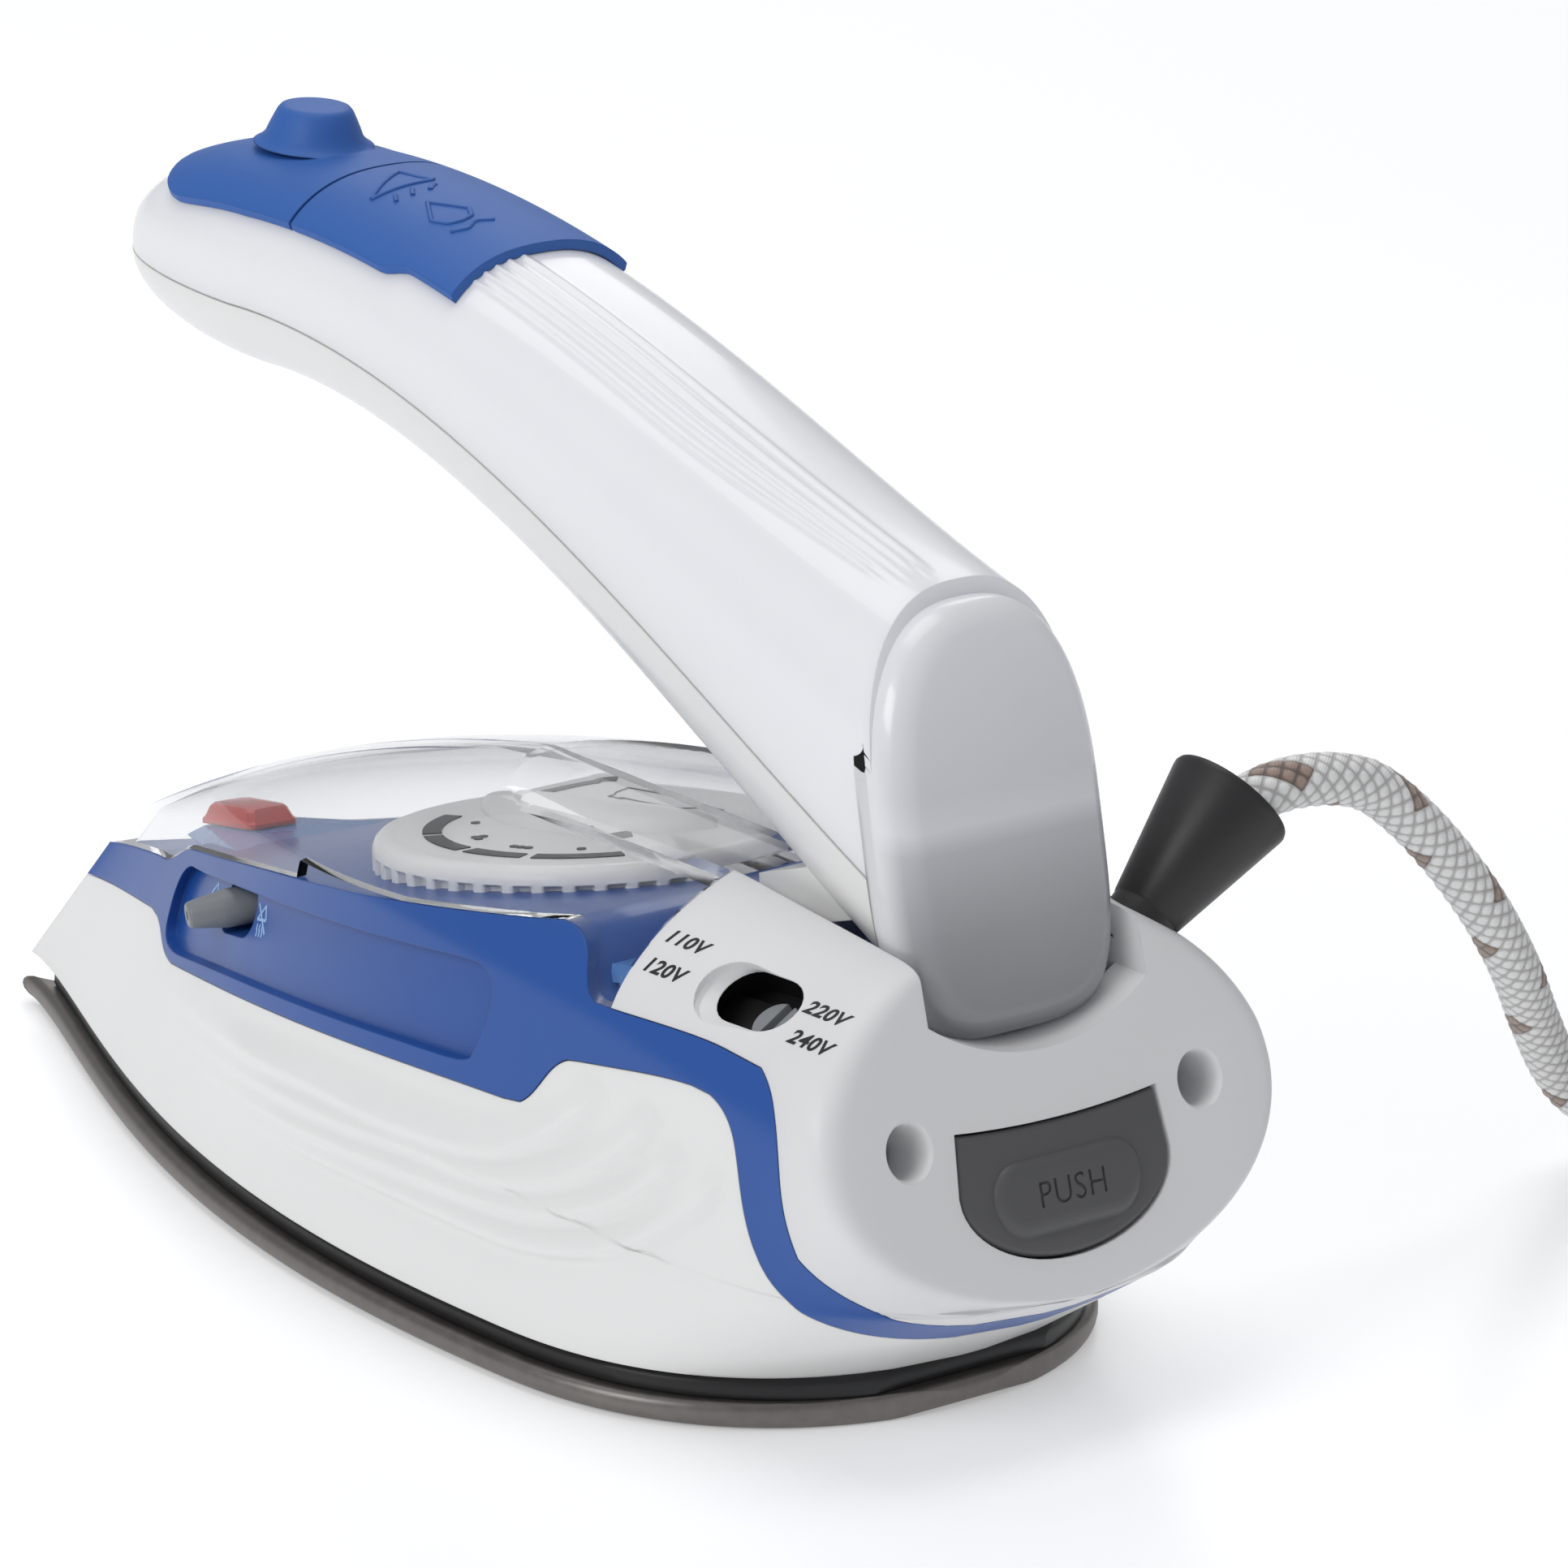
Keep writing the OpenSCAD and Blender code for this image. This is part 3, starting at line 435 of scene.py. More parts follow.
# ---- cord
CORD_R = 3.35
cord_points = [
    (-85.8, -24.6, 56.3), (-85.8, -28, 59.3), (-85.8, -31.5, 62.4), (-85.8, -35.6, 65.5),
    (-85.8, -40, 67.8), (-86, -45, 69.2), (-86, -50.5, 69.5), (-86, -58, 68.5), (-86, -65, 65.8),
    (-86, -75, 58.2), (-85.4, -86, 47.6), (-82.1, -97, 36.6), (-76.7, -108, 25.6), (-72.7, -117, 16.8),
    (-71, -124, 10.9), (-70.5, -131, 6.8), (-70.4, -139, 4.7), (-70.4, -147, 4.3), (-70.4, -157, 4.3)]
COIL = np.array((-112.0, -157.0))
LOW_Z, PITCH = 4.3, 6.8


def coil_point(a):
    """Centreline of the coil after a degrees of clockwise winding."""
    if a < 1010:
        r = 41.6 - PITCH * (step(325, 360, a) + step(685, 720, a))
    else:
        r = 28 + PITCH * (step(1335, 1370, a) + step(1695, 1730, a) - step(2340, 2375, a))
    z = LOW_Z + PITCH * (step(1010, 1045, a) + step(2015, 2050, a))
    t = math.radians(a)
    return (COIL[0] + r * math.cos(t), COIL[1] - r * math.sin(t), z)

PLUG_P = (-98.4, -184.2, 30.4)
tail_points = [(-78.8, -146.6, 17.9), (-77.5, -158.3, 20), (-80.8, -169.5, 24), (-88.2, -178.6, 28.2), PLUG_P]
coil = np.array([coil_point(a) for a in np.arange(0, 2502.7, 3.7)])
centre = np.vstack([route(cord_points, 8)[:-1], coil[:-1], route(tail_points, 8)])


def resample(line, spacing):
    """Points at an even spacing along the line, and their distances."""
    d = run(line)
    at = np.linspace(0, d[-1], int(d[-1] / spacing) + 1)
    return np.stack([np.interp(at, d, line[:, k]) for k in range(3)], 1), at


def braided_tube(name, line, spacing, sides, relief=0.28, pick=2.75, strands=8):
    """A tube along the line whose surface carries the braid's crossed strands, one crossing every pick mm."""
    p, at = resample(line, spacing)
    tan = tangents(p)
    side = np.zeros_like(p)
    side[0] = np.cross(tan[0], (1, 0, 0))
    for i in range(len(p)):
        s = side[max(i - 1, 0)]
        s = s - tan[i] * s.dot(tan[i])
        side[i] = s / np.linalg.norm(s)
    other = np.cross(tan, side)
    ang = np.linspace(0, 2 * PI, sides, endpoint=False)
    u, v = at / pick, ang / (2 * PI) * strands
    hill = np.abs(np.sin(PI * (u[:, None] + v[None]))) * np.abs(np.sin(PI * (u[:, None] - v[None])))
    r = CORD_R - relief + relief * hill ** 0.6
    pts = p[:, None] + r[..., None] * (np.cos(ang)[None, :, None] * side[:, None]
                                       + np.sin(ang)[None, :, None] * other[:, None])
    obj = loft(name, pts, 0, weld=0)
    mesh = obj.data
    layer = mesh.uv_layers.new(name="UVMap")
    loops = np.array([l.vertex_index for l in mesh.loops])
    uvs = np.stack([u[loops // sides], v[loops % sides]], 1)
    for face in mesh.polygons:
        around = uvs[face.loop_start:face.loop_start + 4, 1]
        if face.loop_total == 4 and around.max() - around.min() > strands / 2:
            around[around < strands / 2] += strands
    layer.data.foreach_set("uv", uvs.ravel())
    shade(obj, 180)
    return obj


cord_obj = braided_tube("cord_braid", centre, fine(0.55), fine(32))
stands(cord_obj, BRAID, "casing", "braid", "cord", "cord_coil", "cord_tail")

# ---- form of the casing, in mm
SHELL_Z = 6.4  # foot of the lower shell
LIP_Z, LIP_H = 19.3, 12.9  # top of the slope under the rear face, and its height above the foot
FACE_Z = 40  # level where the rear face is widest
CREST_X, CREST_Z, CREST_RUN = -61, 65.6, 30.5  # top of the crown, and its length behind that
WIDE_X = -46  # widest section


def side_w(z):
    return 42.2 - 0.11 * (z - SHELL_Z)


def nose_x(z):
    return 88.5 - 0.75 * (z - SHELL_Z)


def face_at(z):
    return -98.3 + 0.3424 * (z - FACE_Z)


def crown_z(x):
    return np.where(x >= CREST_X, CREST_Z - 35 * (np.maximum(x - CREST_X, 0) / 131.3) ** 2.3,
                    CREST_Z - 2.9 * (CREST_X - x) / CREST_RUN)


def crown_h(x):
    return np.where(x >= CREST_X, 20 - 0.115 * (x - CREST_X), 20 + 2.7 * (CREST_X - x) / CREST_RUN)


def face_w(z):
    high = 1 - (np.maximum(z - FACE_Z, 0) / 22.7) ** 2
    low = 1 - (np.maximum(FACE_Z - z, 0) / 20.7) ** 2.2
    return 38 * np.sqrt(np.maximum(0, np.where(z >= FACE_Z, high, low)))


def rear_x(z):
    under_crown = np.maximum(face_at(z), CREST_X - (CREST_Z - z) * CREST_RUN / 2.9)
    high = np.where(z <= 62.7, face_at(z), under_crown)
    return np.where(z <= LIP_Z, -87.3 - 18.1 * (z - SHELL_Z) / LIP_H, high)


def plan_w(x, z):
    """Half-width before the crown rounds it off."""
    k = (z - SHELL_Z) / LIP_H
    ahead = np.clip((x - WIDE_X) / (nose_x(z) - WIDE_X), 0, 1)
    front = side_w(z) * np.maximum(0, 1 - ahead ** 2.2) ** 1.25
    s = np.clip((WIDE_X - x) / (41.3 + 18.1 * k), 0, 1)
    low = side_w(z) * np.maximum(0, 1 - s ** (2.6 + 0.4 * k)) ** (1 / (2.1 + 0.3 * k))
    r = np.minimum(0.9999, face_w(np.minimum(z, FACE_Z)) / side_w(z))
    reach = (WIDE_X - face_at(z)) / (1 - r ** 2.4) ** (1 / 3)
    high = side_w(z) * np.maximum(0, 1 - np.clip((WIDE_X - x) / reach, 0, None) ** 3) ** (1 / 2.4)
    return np.where(x >= WIDE_X, front, np.where(z <= LIP_Z, low, high))


def body_grid(s, v, inset, fillet):
    """Points on the +Y half: s runs from the rear face to the nose, v from the skirt up to the crest."""
    z = SHELL_Z + 40 * v
    for _ in range(40):
        a = rear_x(z) + 1.06 * inset + fillet
        x = a + (nose_x(z) - 3 * inset - a) * s
        top, h = crown_z(x) - crown_h(x), crown_h(x) - inset
        phi = np.clip((v - 0.6) / 0.4, 0, 1) * PI / 2
        new = np.where(v <= 0.6, SHELL_Z + (top - SHELL_Z) * v / 0.6, top + h * np.sin(phi))
        z = 0.4 * z + 0.6 * new
    w = np.maximum(0.04, plan_w(x, z) - inset) * np.maximum(np.cos(phi), 0.001)
    return np.stack([x, w, z], -1)


def body_mesh(name, inset, cols, rows, shape=None):
    """The whole casing form as one closed skin, with a rounded edge round the rear face."""
    v = np.r_[np.linspace(0, 0.6, rows * 6 // 10, endpoint=False), np.linspace(0.6, 1, rows * 4 // 10)]
    s = np.linspace(0, 1, cols) ** 0.92
    radius = max(3.6 - inset, 0.8)
    edge = body_grid(np.zeros_like(v), v, inset, 0.0)
    r = np.minimum(radius, 0.85 * edge[:, 1])
    side = body_grid(s[None, :] * np.ones((len(v), 1)), v[:, None] * np.ones((1, len(s))), inset, r[:, None])
    if shape is not None:
        side[..., 1] += shape(side[..., 0], side[..., 2]) * np.minimum(1, side[..., 1] / 4)
    flat = edge.copy()
    flat[:, 1] = np.maximum(edge[:, 1] - r, 0.005)
    corner = [(1 - t) ** 2 * flat + 2 * t * (1 - t) * edge + t * t * side[:, 0]
              for t in np.linspace(0, 1, 9)[1:-1]]
    half = np.concatenate([np.stack([flat] + corner, 1), side], 1)
    across = [flat * (1, c, 1) for c in np.linspace(-1, 1, 14)[1:-1]]
    ring = np.concatenate([half, half[:, ::-1] * (1, -1, 1), np.stack(across, 1)], 1)
    return loft(name, ring, smooth=25)
def outline(*parts):
    """A line in the side view: lists are its points, tuples the four points of a Bezier curve."""
    t = np.linspace(0, 1, 33)[:, None]
    p = np.vstack([bezier(np.array(q, float), t) if isinstance(q, tuple) else q for q in parts])
    return p[np.r_[True, np.linalg.norm(np.diff(p, axis=0), axis=1) > 0.02]]


trim_low = outline(
    [[96, 19.5], [78, 20], [53, 24.6]],
    ([50, 24.6], [46, 24], [45.5, 22], [40, 22.3]),
    ([30, 24.2], [0, 29.6], [-25, 32.6], [-44, 33.4]),
    ([-47, 33.8], [-50, 35.5], [-50.5, 39.5], [-54, 41]),
    ([-56, 41.4], [-66, 43], [-70, 43.8], [-75, 44]),
    ([-78, 43.8], [-84.5, 42], [-84, 35], [-86, 27]),
    ([-86.6, 25], [-88, 20.5], [-91, 18.4], [-96, 14.2]), [[-102, 9]])
trim_high = outline(
    [[96, 25.4], [74, 25.6], [57, 29.8]],
    ([55, 30.2], [50, 31], [50, 33.4], [45, 34.8]),
    ([30, 38.8], [10, 44.4], [-20, 50.8], [-41, 54.4]),
    ([-46, 55.4], [-54, 55.6], [-53.5, 49.4], [-57, 48.9]),
    ([-60, 48.9], [-68, 49.2], [-74, 49.4], [-78, 49]),
    ([-84, 48.4], [-90.5, 45], [-90.8, 39], [-91.4, 33]),
    ([-92, 27], [-94, 23.5], [-97, 20.6], [-101, 16.4]), [[-107, 10.6]])
recess = outline(
    ([46, 26.5], [47, 30], [46, 33], [42, 33.6]),
    ([38, 34.4], [20, 38.6], [0, 42.8], [-32, 47.6]),
    ([-36, 48], [-41, 48], [-40, 43], [-38.5, 39]),
    ([-37.5, 36.6], [-36.6, 35.6], [-34, 35.4], [-30, 35]),
    ([-24, 34.4], [0, 31.6], [20, 28], [34, 24.9]),
    ([38, 24], [44, 22.8], [45.6, 24], [46, 26.5]))[:-1]


def beside(line, d, *corners):
    """The region beside a line moved left by d, closed by far corners."""
    return np.vstack([line + d * normals(line), corners])


GAP = 0.07
above_high = beside(trim_high, -GAP, (-120, 10), (-120, 90), (100, 90))
above_low = beside(trim_low, -GAP, (-120, 8), (-120, 90), (100, 90))
below_low = beside(trim_low, GAP, (-120, 8), (-120, -20), (100, -20))
below_high = beside(trim_high, GAP, (-120, 10), (-120, -20), (100, -20))

# soft terraces along the lower shell: (x, z) points of each line's lip, from front to rear
SWOOSH = [
    [(46, 18.6), (28, 20.6), (9.5, 22.1), (-5.5, 23.9), (-20.5, 24.9), (-30.5, 25.6), (-39.5, 26.4),
     (-46.5, 28.1), (-53, 31.6), (-58, 35.9), (-61.5, 39.4)],
    [(42.5, 17.2), (20.5, 18.6), (3.5, 20.1), (-16, 21.9), (-29.5, 23.2), (-40.5, 23.6), (-49, 24.6),
     (-57, 27.4), (-63, 31.1), (-68, 35.6), (-71, 39.1)],
    [(42, 14.9), (19, 16.1), (0.5, 17.4), (-17, 19.1), (-30, 20.1), (-41, 20.6), (-51, 21.4), (-59, 23.6),
     (-66.5, 27.1), (-72.5, 32.1), (-76, 36.1)],
    [(20, 13.9), (5, 14.8), (-8.5, 15.7), (-24.5, 16.6), (-37, 16.9), (-49, 17.1), (-58.5, 18.6),
     (-67.5, 21.6), (-74.5, 26.4), (-79.5, 30.9), (-82, 35.9)],
]


def line_field(points, x, z):
    """Signed distance to a line, positive above it, and how far along it the nearest point is (0 to 1)."""
    p = route([(a, 0, b) for a, b in points], 5)[:, (0, 2)]
    q = np.stack([x, z], -1)
    best = np.full(x.shape, 1e9)
    sign, along = np.zeros(x.shape), np.zeros(x.shape)
    for i in range(len(p) - 1):
        d = p[i + 1] - p[i]
        rel = q - p[i]
        t = np.clip((rel @ d) / (d @ d), 0, 1)
        dist = np.linalg.norm(rel - t[..., None] * d, axis=-1)
        near = dist < best
        best = np.where(near, dist, best)
        sign = np.where(near, np.sign(d[1] * rel[..., 0] - d[0] * rel[..., 1]), sign)
        along = np.where(near, (i + t) / (len(p) - 1), along)
    return best * sign, along


def terraces(x, z):
    """Each line is a soft lip: steep below it, fading slowly above."""
    height, above, below = 1.2, 2.9, 0.95
    rise = np.zeros(x.shape)
    for points in SWOOSH:
        d, k = line_field(points, x, z)
        fade = step(0.0, 0.3, k) * (1 - step(0.9, 1.0, k))
        rise += height * fade * np.where(d > 0, np.exp(-(d / above) ** 2), np.exp(-(d / below) ** 2))
    return rise - 0.1


shell = body_mesh("lower_shell_skin", 0.0, fine(240), fine(170), terraces)
GRID = fine(190), fine(120)
body = body_mesh("casing_form", 0.0, *GRID)
core = body_mesh("casing_core", 1.8, *GRID)


def copy_of(obj, name):
    return link(name, obj.data.copy())


# lower shell
cut(shell, prism(below_low), op="INTERSECT")
shade(shell, 55)
stands(shell, WHITE, "casing", "white_plastic", "lower_shell")

# blue band with its sunk panel on each side
band = copy_of(body, "trim_band_skin")
cut(band, prism(above_low), prism(below_high), op="INTERSECT")
cut(band, cut(prism(recess), copy_of(core, "core_a")))

SLIDER_AT = Vector((28.2, 19.4, 33.3))
SLIDE = Vector((-0.86, 0.46, 0.21))
tilt, swing = math.radians(99.8), math.radians(62)
SLIDER_M = frame_at(SLIDER_AT, (math.sin(tilt) * math.cos(swing), math.sin(tilt) * math.sin(swing),
                                math.cos(tilt)), (0, 0, 1))


def stadium_ring(length, r, z=0.0, n=14):
    a = np.linspace(-PI / 2, PI / 2, n)
    h = length / 2 - r
    right_end = np.stack([h + r * np.cos(a), r * np.sin(a)], 1)
    left_end = np.stack([-h - r * np.cos(a), -r * np.sin(a)], 1)
    return at_height(np.vstack([right_end, left_end]), z)


slot = loft("cutter", [stadium_ring(12.2, 3.1, z) for z in (-12, 12)])
cut(band, place(slot, frame_at(SLIDER_AT + SLIDE * 3, SLIDER_M.col[2].to_3d(), SLIDE)))
shade(band, 28)
stands(band, BLUE, "casing", "blue_plastic", "trim_band")

# clear dome: a thin shell with a flat floor where the handle folds in
dome = copy_of(body, "clear_dome_skin")
cut(dome, prism(above_high), box((-59.2, -60, 15), (120, 60, 90)), op="INTERSECT")
cut(dome, box((-80, -18.5, 61.2), (5, 18.5, 90)))
inner = body_mesh("dome_inside", 1.6, *GRID)
cut(inner, box((-90, -18.5, 59.6), (5, 18.5, 90)))
cut(dome, inner)
for y0, y1 in ((21, 60), (-60, -21)):
    cut(dome, place(box((0, y0, 0), (41, y1, 22.5)), turned(8, "Y", (-36, 0, 30))))
cut(dome, box((-61, -16, 50), (-54.2, 16, 80)))
shade(dome, 25)
stands(dome, DOME, "casing", "clear_plastic", "clear_dome")

# rear housing: the handle's bay with its rounded floor, the button's opening, screw holes and window
house = copy_of(body, "rear_housing_skin")
cut(house, prism(above_high), box((-130, -60, 0), (-59.5, 60, 90)), op="INTERSECT")
bay = [(34.3 * math.cos(a), 82 + 34.3 * math.sin(a)) for a in np.linspace(-PI / 2 - 0.56, -PI / 2 + 0.56, 24)]
bay += [(18.2, 90), (-18.2, 90)]
cut(house, box((-120, -18.2, 54), (-50, 18.2, 90)), box((-88.5, -18.2, 44), (-50, 18.2, 90)),
    loft("cutter", [[(x, y, z) for y, z in bay] for x in (-120, -58)], 0),
    box((-59.6, -34, 36), (-50, 34, 56)))

FACE = frame_at((-98.3, 0, 40), (-0.946, 0, 0.3239), (0.3239, 0, 0.946))
BUTTON_W, BUTTON_LOW, BUTTON_ROUND = 17.4, 9.6, 1.4


def button_line(g):
    """Outline of the release button, grown by g: x up the face, y across."""
    a = np.radians(np.linspace(-82, 82, 28))
    low = np.stack([-7 - (BUTTON_LOW + g) * np.cos(a), (BUTTON_W + g) * np.sin(a)], 1)
    t = np.linspace(1, -1, 15)
    hi = np.stack([-0.5 + g + 0.9 * t * t, (BUTTON_W + g - BUTTON_ROUND * 0.6) * t], 1)
    return np.vstack([low, [(-7, BUTTON_W + g)], hi, [(-7, -BUTTON_W - g)]])


cut(house, place(slab(button_line(0.3), -7, 9), FACE))
screw_hole = [(0.01, -9), (3.3, -9), (3.3, -0.9), (3.55, -0.3), (4.3, 0.6), (4.3, 4), (0.01, 4)]
for y in (24.3, -24.3):
    m = FACE.copy()
    m.translation = FACE @ Vector((0, y, 0))
    cut(house, lathe("cutter", screw_hole, m, 48))
WIN = Matrix.Rotation(math.radians(-36), 4, "X") @ Matrix.Rotation(math.radians(4), 4, "Y")
WIN.translation = (-77.3, 31.5, 53.6)
POCKET = (0.8, -1.0)


def slanted(name, levels):
    """Stadium rings whose centres move sideways with depth: the pocket is moulded at a slant."""
    return place(loft(name, [stadium_ring(a, b, z) + (dx, dy, 0) for a, b, z, dx, dy in levels]), WIN)


cut(house, slanted("cutter", [
    (20.6, 6.6, -9, *POCKET), (20.6, 6.6, -2.5, *POCKET), (12.6, 4.1, -2.4, 1.8, -2.2),
    (12.6, 4.1, -0.8, -0.13, -1.27), (13.0, 4.2, -0.6, -0.1, -1.0), (15.0, 4.7, 0.05, 0, -0.15),
    (15.6, 4.9, 0.6, 0, 0), (15.6, 4.9, 6, 0, 0)]))
cut(band, slanted("cutter", [(20.6, 6.6, -9, *POCKET), (20.6, 6.6, -2, *POCKET)]))
well = slanted("voltage_well", [(a, b, z, *POCKET) for a, b, z in
                                ((20.4, 6.5, -8.9), (20.4, 6.5, -2.62), (19.4, 6.0, -2.62), (19.4, 6.0, -7))])
stands(well, BLACK, "casing", "black_plastic")
GUARD_M = turned(48, "X", (-85.8, -25.4, 57))
cut(house, lathe("cutter", [(0.01, -6), (4.6, -6), (4.6, 24), (0.01, 24)], GUARD_M, 48))
shade(house, 28)
stands(house, HOUSE, "casing", "white_plastic", "rear_housing")
for piece in (shell, band):  # room for the latch hook
    cut(piece, place(box((-4.5, -7, -19), (13.5, 7, -2.5)), FACE))
drop(core)

# ---- sole and skirt
def sole_half(x, t):
    s = np.where(x >= WIDE_X, (x - WIDE_X) / 136, (WIDE_X - x) / 42)
    front = np.maximum(0, 1 - np.clip(s, 0, 1) ** 2.2) ** 1.25
    rear = np.maximum(0, 1 - np.clip(s, 0, 1) ** 2.6) ** (1 / 2.1)
    return np.maximum(0.05, 43 * np.where(x >= WIDE_X, front, rear) - t)


def sole_ring(t, z, n=90):
    """Outline of the sole, moved in by t."""
    k = (1 - np.cos(np.linspace(0, PI, n))) / 2
    x = -88 + t + (178 - 4 * t) * k
    half = np.stack([x, sole_half(x, t), np.full(n, z)], 1)
    return np.vstack([half, half[::-1] * (1, -1, 1)])


levels = [(2.2, 0.0), (1.5, 0.04), (0.95, 0.22), (0.45, 0.6), (0.12, 1.1), (0, 1.7), (0.05, 2.3), (0.28, 2.85),
          (0.7, 3.2), (1.3, 3.34), (3.0, 3.34), (8.8, 3.36), (9, 3.6), (9, 9.7), (9.3, 10)]
sole = loft("soleplate_skin", [sole_ring(t, z) for t, z in levels], 40)
vents = [(44 - 16 * i, side * (13 + 3.6 * i - 0.1 * i * i)) for side in (1, -1) for i in range(6)]
vents += [(66 - 5 * i, 0) for i in range(4)]
vent = [(0.01, -1), (1.9, -1), (1.9, 0), (1.3, 0.5), (1.3, 8), (0.01, 8)]
for x, y in vents:
    cut(sole, lathe("cutter", vent, Matrix.Translation((x, y, 0)), 20))
shade(sole, 35)
stands(sole, SOLE, "casing", "sole_metal", "soleplate")
skirt_levels = [(3.4, 3.3), (2.4, 3.36), (2.2, 3.7), (2.2, 5.2), (2.5, 5.6), (3.1, 5.9), (3.3, 6.3), (5, 6.4)]
skirt = loft("insulating_skirt_skin", [sole_ring(t, z) for t, z in skirt_levels], 40)
cut(skirt, loft("cutter", [sole_ring(9.4, z) for z in (2, 8)], 0))
shade(skirt, 35)
stands(skirt, SKIRT, "casing", "black_plastic", "insulating_skirt")

# ---- handle
TOP = np.array([(-79.7, 99.5), (-45, 107), (-5, 128), (38, 125)], float)
LOW = np.array([(-93.6, 49.2), (-53, 67.5), (-5, 102.5), (38, 99)], float)
SEAM = -9.0
CAP_T, CAP_ROUND = 0.038, 4.2  # where the rear cap ends, and the radius of its rim
N_TUBE, N_TIP = fine(70), fine(26)


def station(t):
    """t 0 to 1 along the tube, 1 to 2 round the tip: top, bottom, half-width and squareness."""
    if t <= 1:
        return bezier(TOP, t), bezier(LOW, t), 17.5 - 0.4 * t, 2.5 - 0.1 * t, 4.2 - 1.6 * t
    a = math.radians(88.5 * min(t - 1, 1))
    x, c = 38 + 29 * math.sin(a), math.cos(a)
    low, top = np.array((x, 110 - 11 * c ** 0.85)), np.array((x, 110 + 15 * c ** 0.85))
    return top, low, 17.1 * c ** 0.62, 2.4, 2.6


def section(t, f, inset=0.0, along=0.0):
    """Skin points at angles f in degrees, 90 at the top: moved in by inset, forward by along."""
    top, low, hw, e1, e2 = station(t)
    c, half = (top + low) / 2, (top - low) / 2
    hz = np.linalg.norm(half)
    u = half / hz
    n = np.array((u[1], -u[0]))
    f = np.asarray(f, float)
    inset = np.asarray(inset, float)
    kz, ky = np.maximum(0.3, hz - inset), np.maximum(0.3, hw - inset)
    e = np.where((f > 0) & (f < 180), e1, e2)
    cf, sf = np.cos(np.radians(f)), np.sin(np.radians(f))
    y = ky * np.sign(cf) * np.abs(cf) ** (2 / e)
    v = kz * np.sign(sf) * np.abs(sf) ** (2 / e)
    return np.stack([c[0] + u[0] * v + n[0] * along, y, c[1] + u[1] * v + n[1] * along], -1)


def even_angles(f0, f1, n, t=0.5):
    """Angles from f0 to f1 that step evenly along the section's outline."""
    f = np.linspace(f0, f1, 1200)
    d = run(section(t, f))
    return np.interp(np.linspace(0, d[-1], n), d, f)


def handle_rings(f0, f1, n, inset=0.0, relief=None):
    """Rings from the rear cap to the tip, over the angles f0 to f1."""
    f = even_angles(f0, f1, n)
    if relief:
        f = np.unique(np.r_[f, np.linspace(46, 96, fine(150))])
    ts = np.r_[np.linspace(0, 1, N_TUBE), 1 + np.linspace(0, 1, N_TIP)[1:] ** 0.8]
    return [section(t, f, inset - (relief(t, f) if relief else 0.0)) for t in ts if t >= CAP_T - 0.002]


RIBS = [(56, 0.735, 0.07), (63, 0.755, 0.065), (70, 0.775, 0.06), (77, 0.795, 0.055), (84, 0.815, 0.05)]


def rib_relief(t, f):
    """Thin raised lines along the tank's upper side, hooked outwards at their front ends."""
    out = np.zeros_like(f)
    for f0, start, stop in RIBS:
        hook = 7 * step(start - 0.035, start, t)
        at = 90 + (f0 - 90) * (1 - 0.35 * step(0.45, 0.05, t)) - hook
        arc = (f - at) * 17.5 * PI / 180
        fade = step(stop, stop + 0.06, t), 1 - step(start, start + 0.01, t)
        out += 0.34 * np.exp(-(arc / 0.5) ** 2) * fade[0] * fade[1]
    return out

def cap_rings():
    """The rear cap: a full section with a rounded rim, slightly proud of the tank."""
    f = even_angles(-90, 270, fine(160))[:-1]
    r = CAP_ROUND
    rings = [section(0, f, r - 0.12 - r * math.sin(a), r * (1 - math.cos(a)))
             for a in np.linspace(0.15, PI / 2, 12)]
    rings += [section(CAP_T + 0.012 * k, f, -0.12 + 0.18 * k, r * (1 - k)) for k in (0.3, 0.6, 0.85)]
    rings += [section(CAP_T + 0.012, f, 0.12, 0), section(CAP_T + 0.012, f, 1.5, 0.05)]
    return rings


tank = loft("water_tank_skin",
            handle_rings(SEAM + 0.25, 180 - SEAM - 0.25, fine(190), 0.08, rib_relief), 35)
cut(tank, loft("tank_cap", cap_rings(), 35), op="UNION")
grip = loft("handle_grip_skin", handle_rings(180 - SEAM + 0.25, 360 + SEAM - 0.25, fine(110)), 35)
FILLER = Matrix.Translation((42.5, 0, 0))
cut(tank, lathe("cutter", [(0.01, 112), (5, 112), (5, 140), (0.01, 140)], FILLER, 40))
shade(tank, 35)
stands(tank, TANK, "handle", "tank_plastic", "water_tank")

# the grip's web round the hinge pin, and its foot
web = prism([(-72, 66.5), (-60, 62), (-60.6, 57), (-64, 54.5), (-68.5, 56), (-71.5, 59), (-80, 62)],
            -14.5, 14.5)
foot = prism([(-88, 54.3), (-88, 43.6), (-84.6, 43.6), (-84.6, 54.3)], -6, 6)
cut(grip, web, foot, op="UNION")
PIN = frame_at((-64, 0, 56), (0, 1, 0), (1, 0, 0))
cut(grip, lathe("cutter", [(0.01, -30), (3.85, -30), (3.85, 30), (0.01, 30)], PIN, 40))
shade(grip, 35)
stands(grip, WHITE, "handle", "white_plastic", "handle_grip")

# blue rubber pad and flap over the top of the tip
SLIT = 13 / 14


def pad_edge(t):
    """Angle of the rubber's side line: a step near the rear and a round front."""
    base = 33 + 7 * step(0.80, 0.765, t) - 3.0 * step(1.0, 1.3, t)
    if t > 1.28:
        base += (90 - base) * (1 - math.sqrt(max(0, 1 - ((t - 1.28) / 0.235) ** 2))) * 0.98
    return min(base, 88.5)


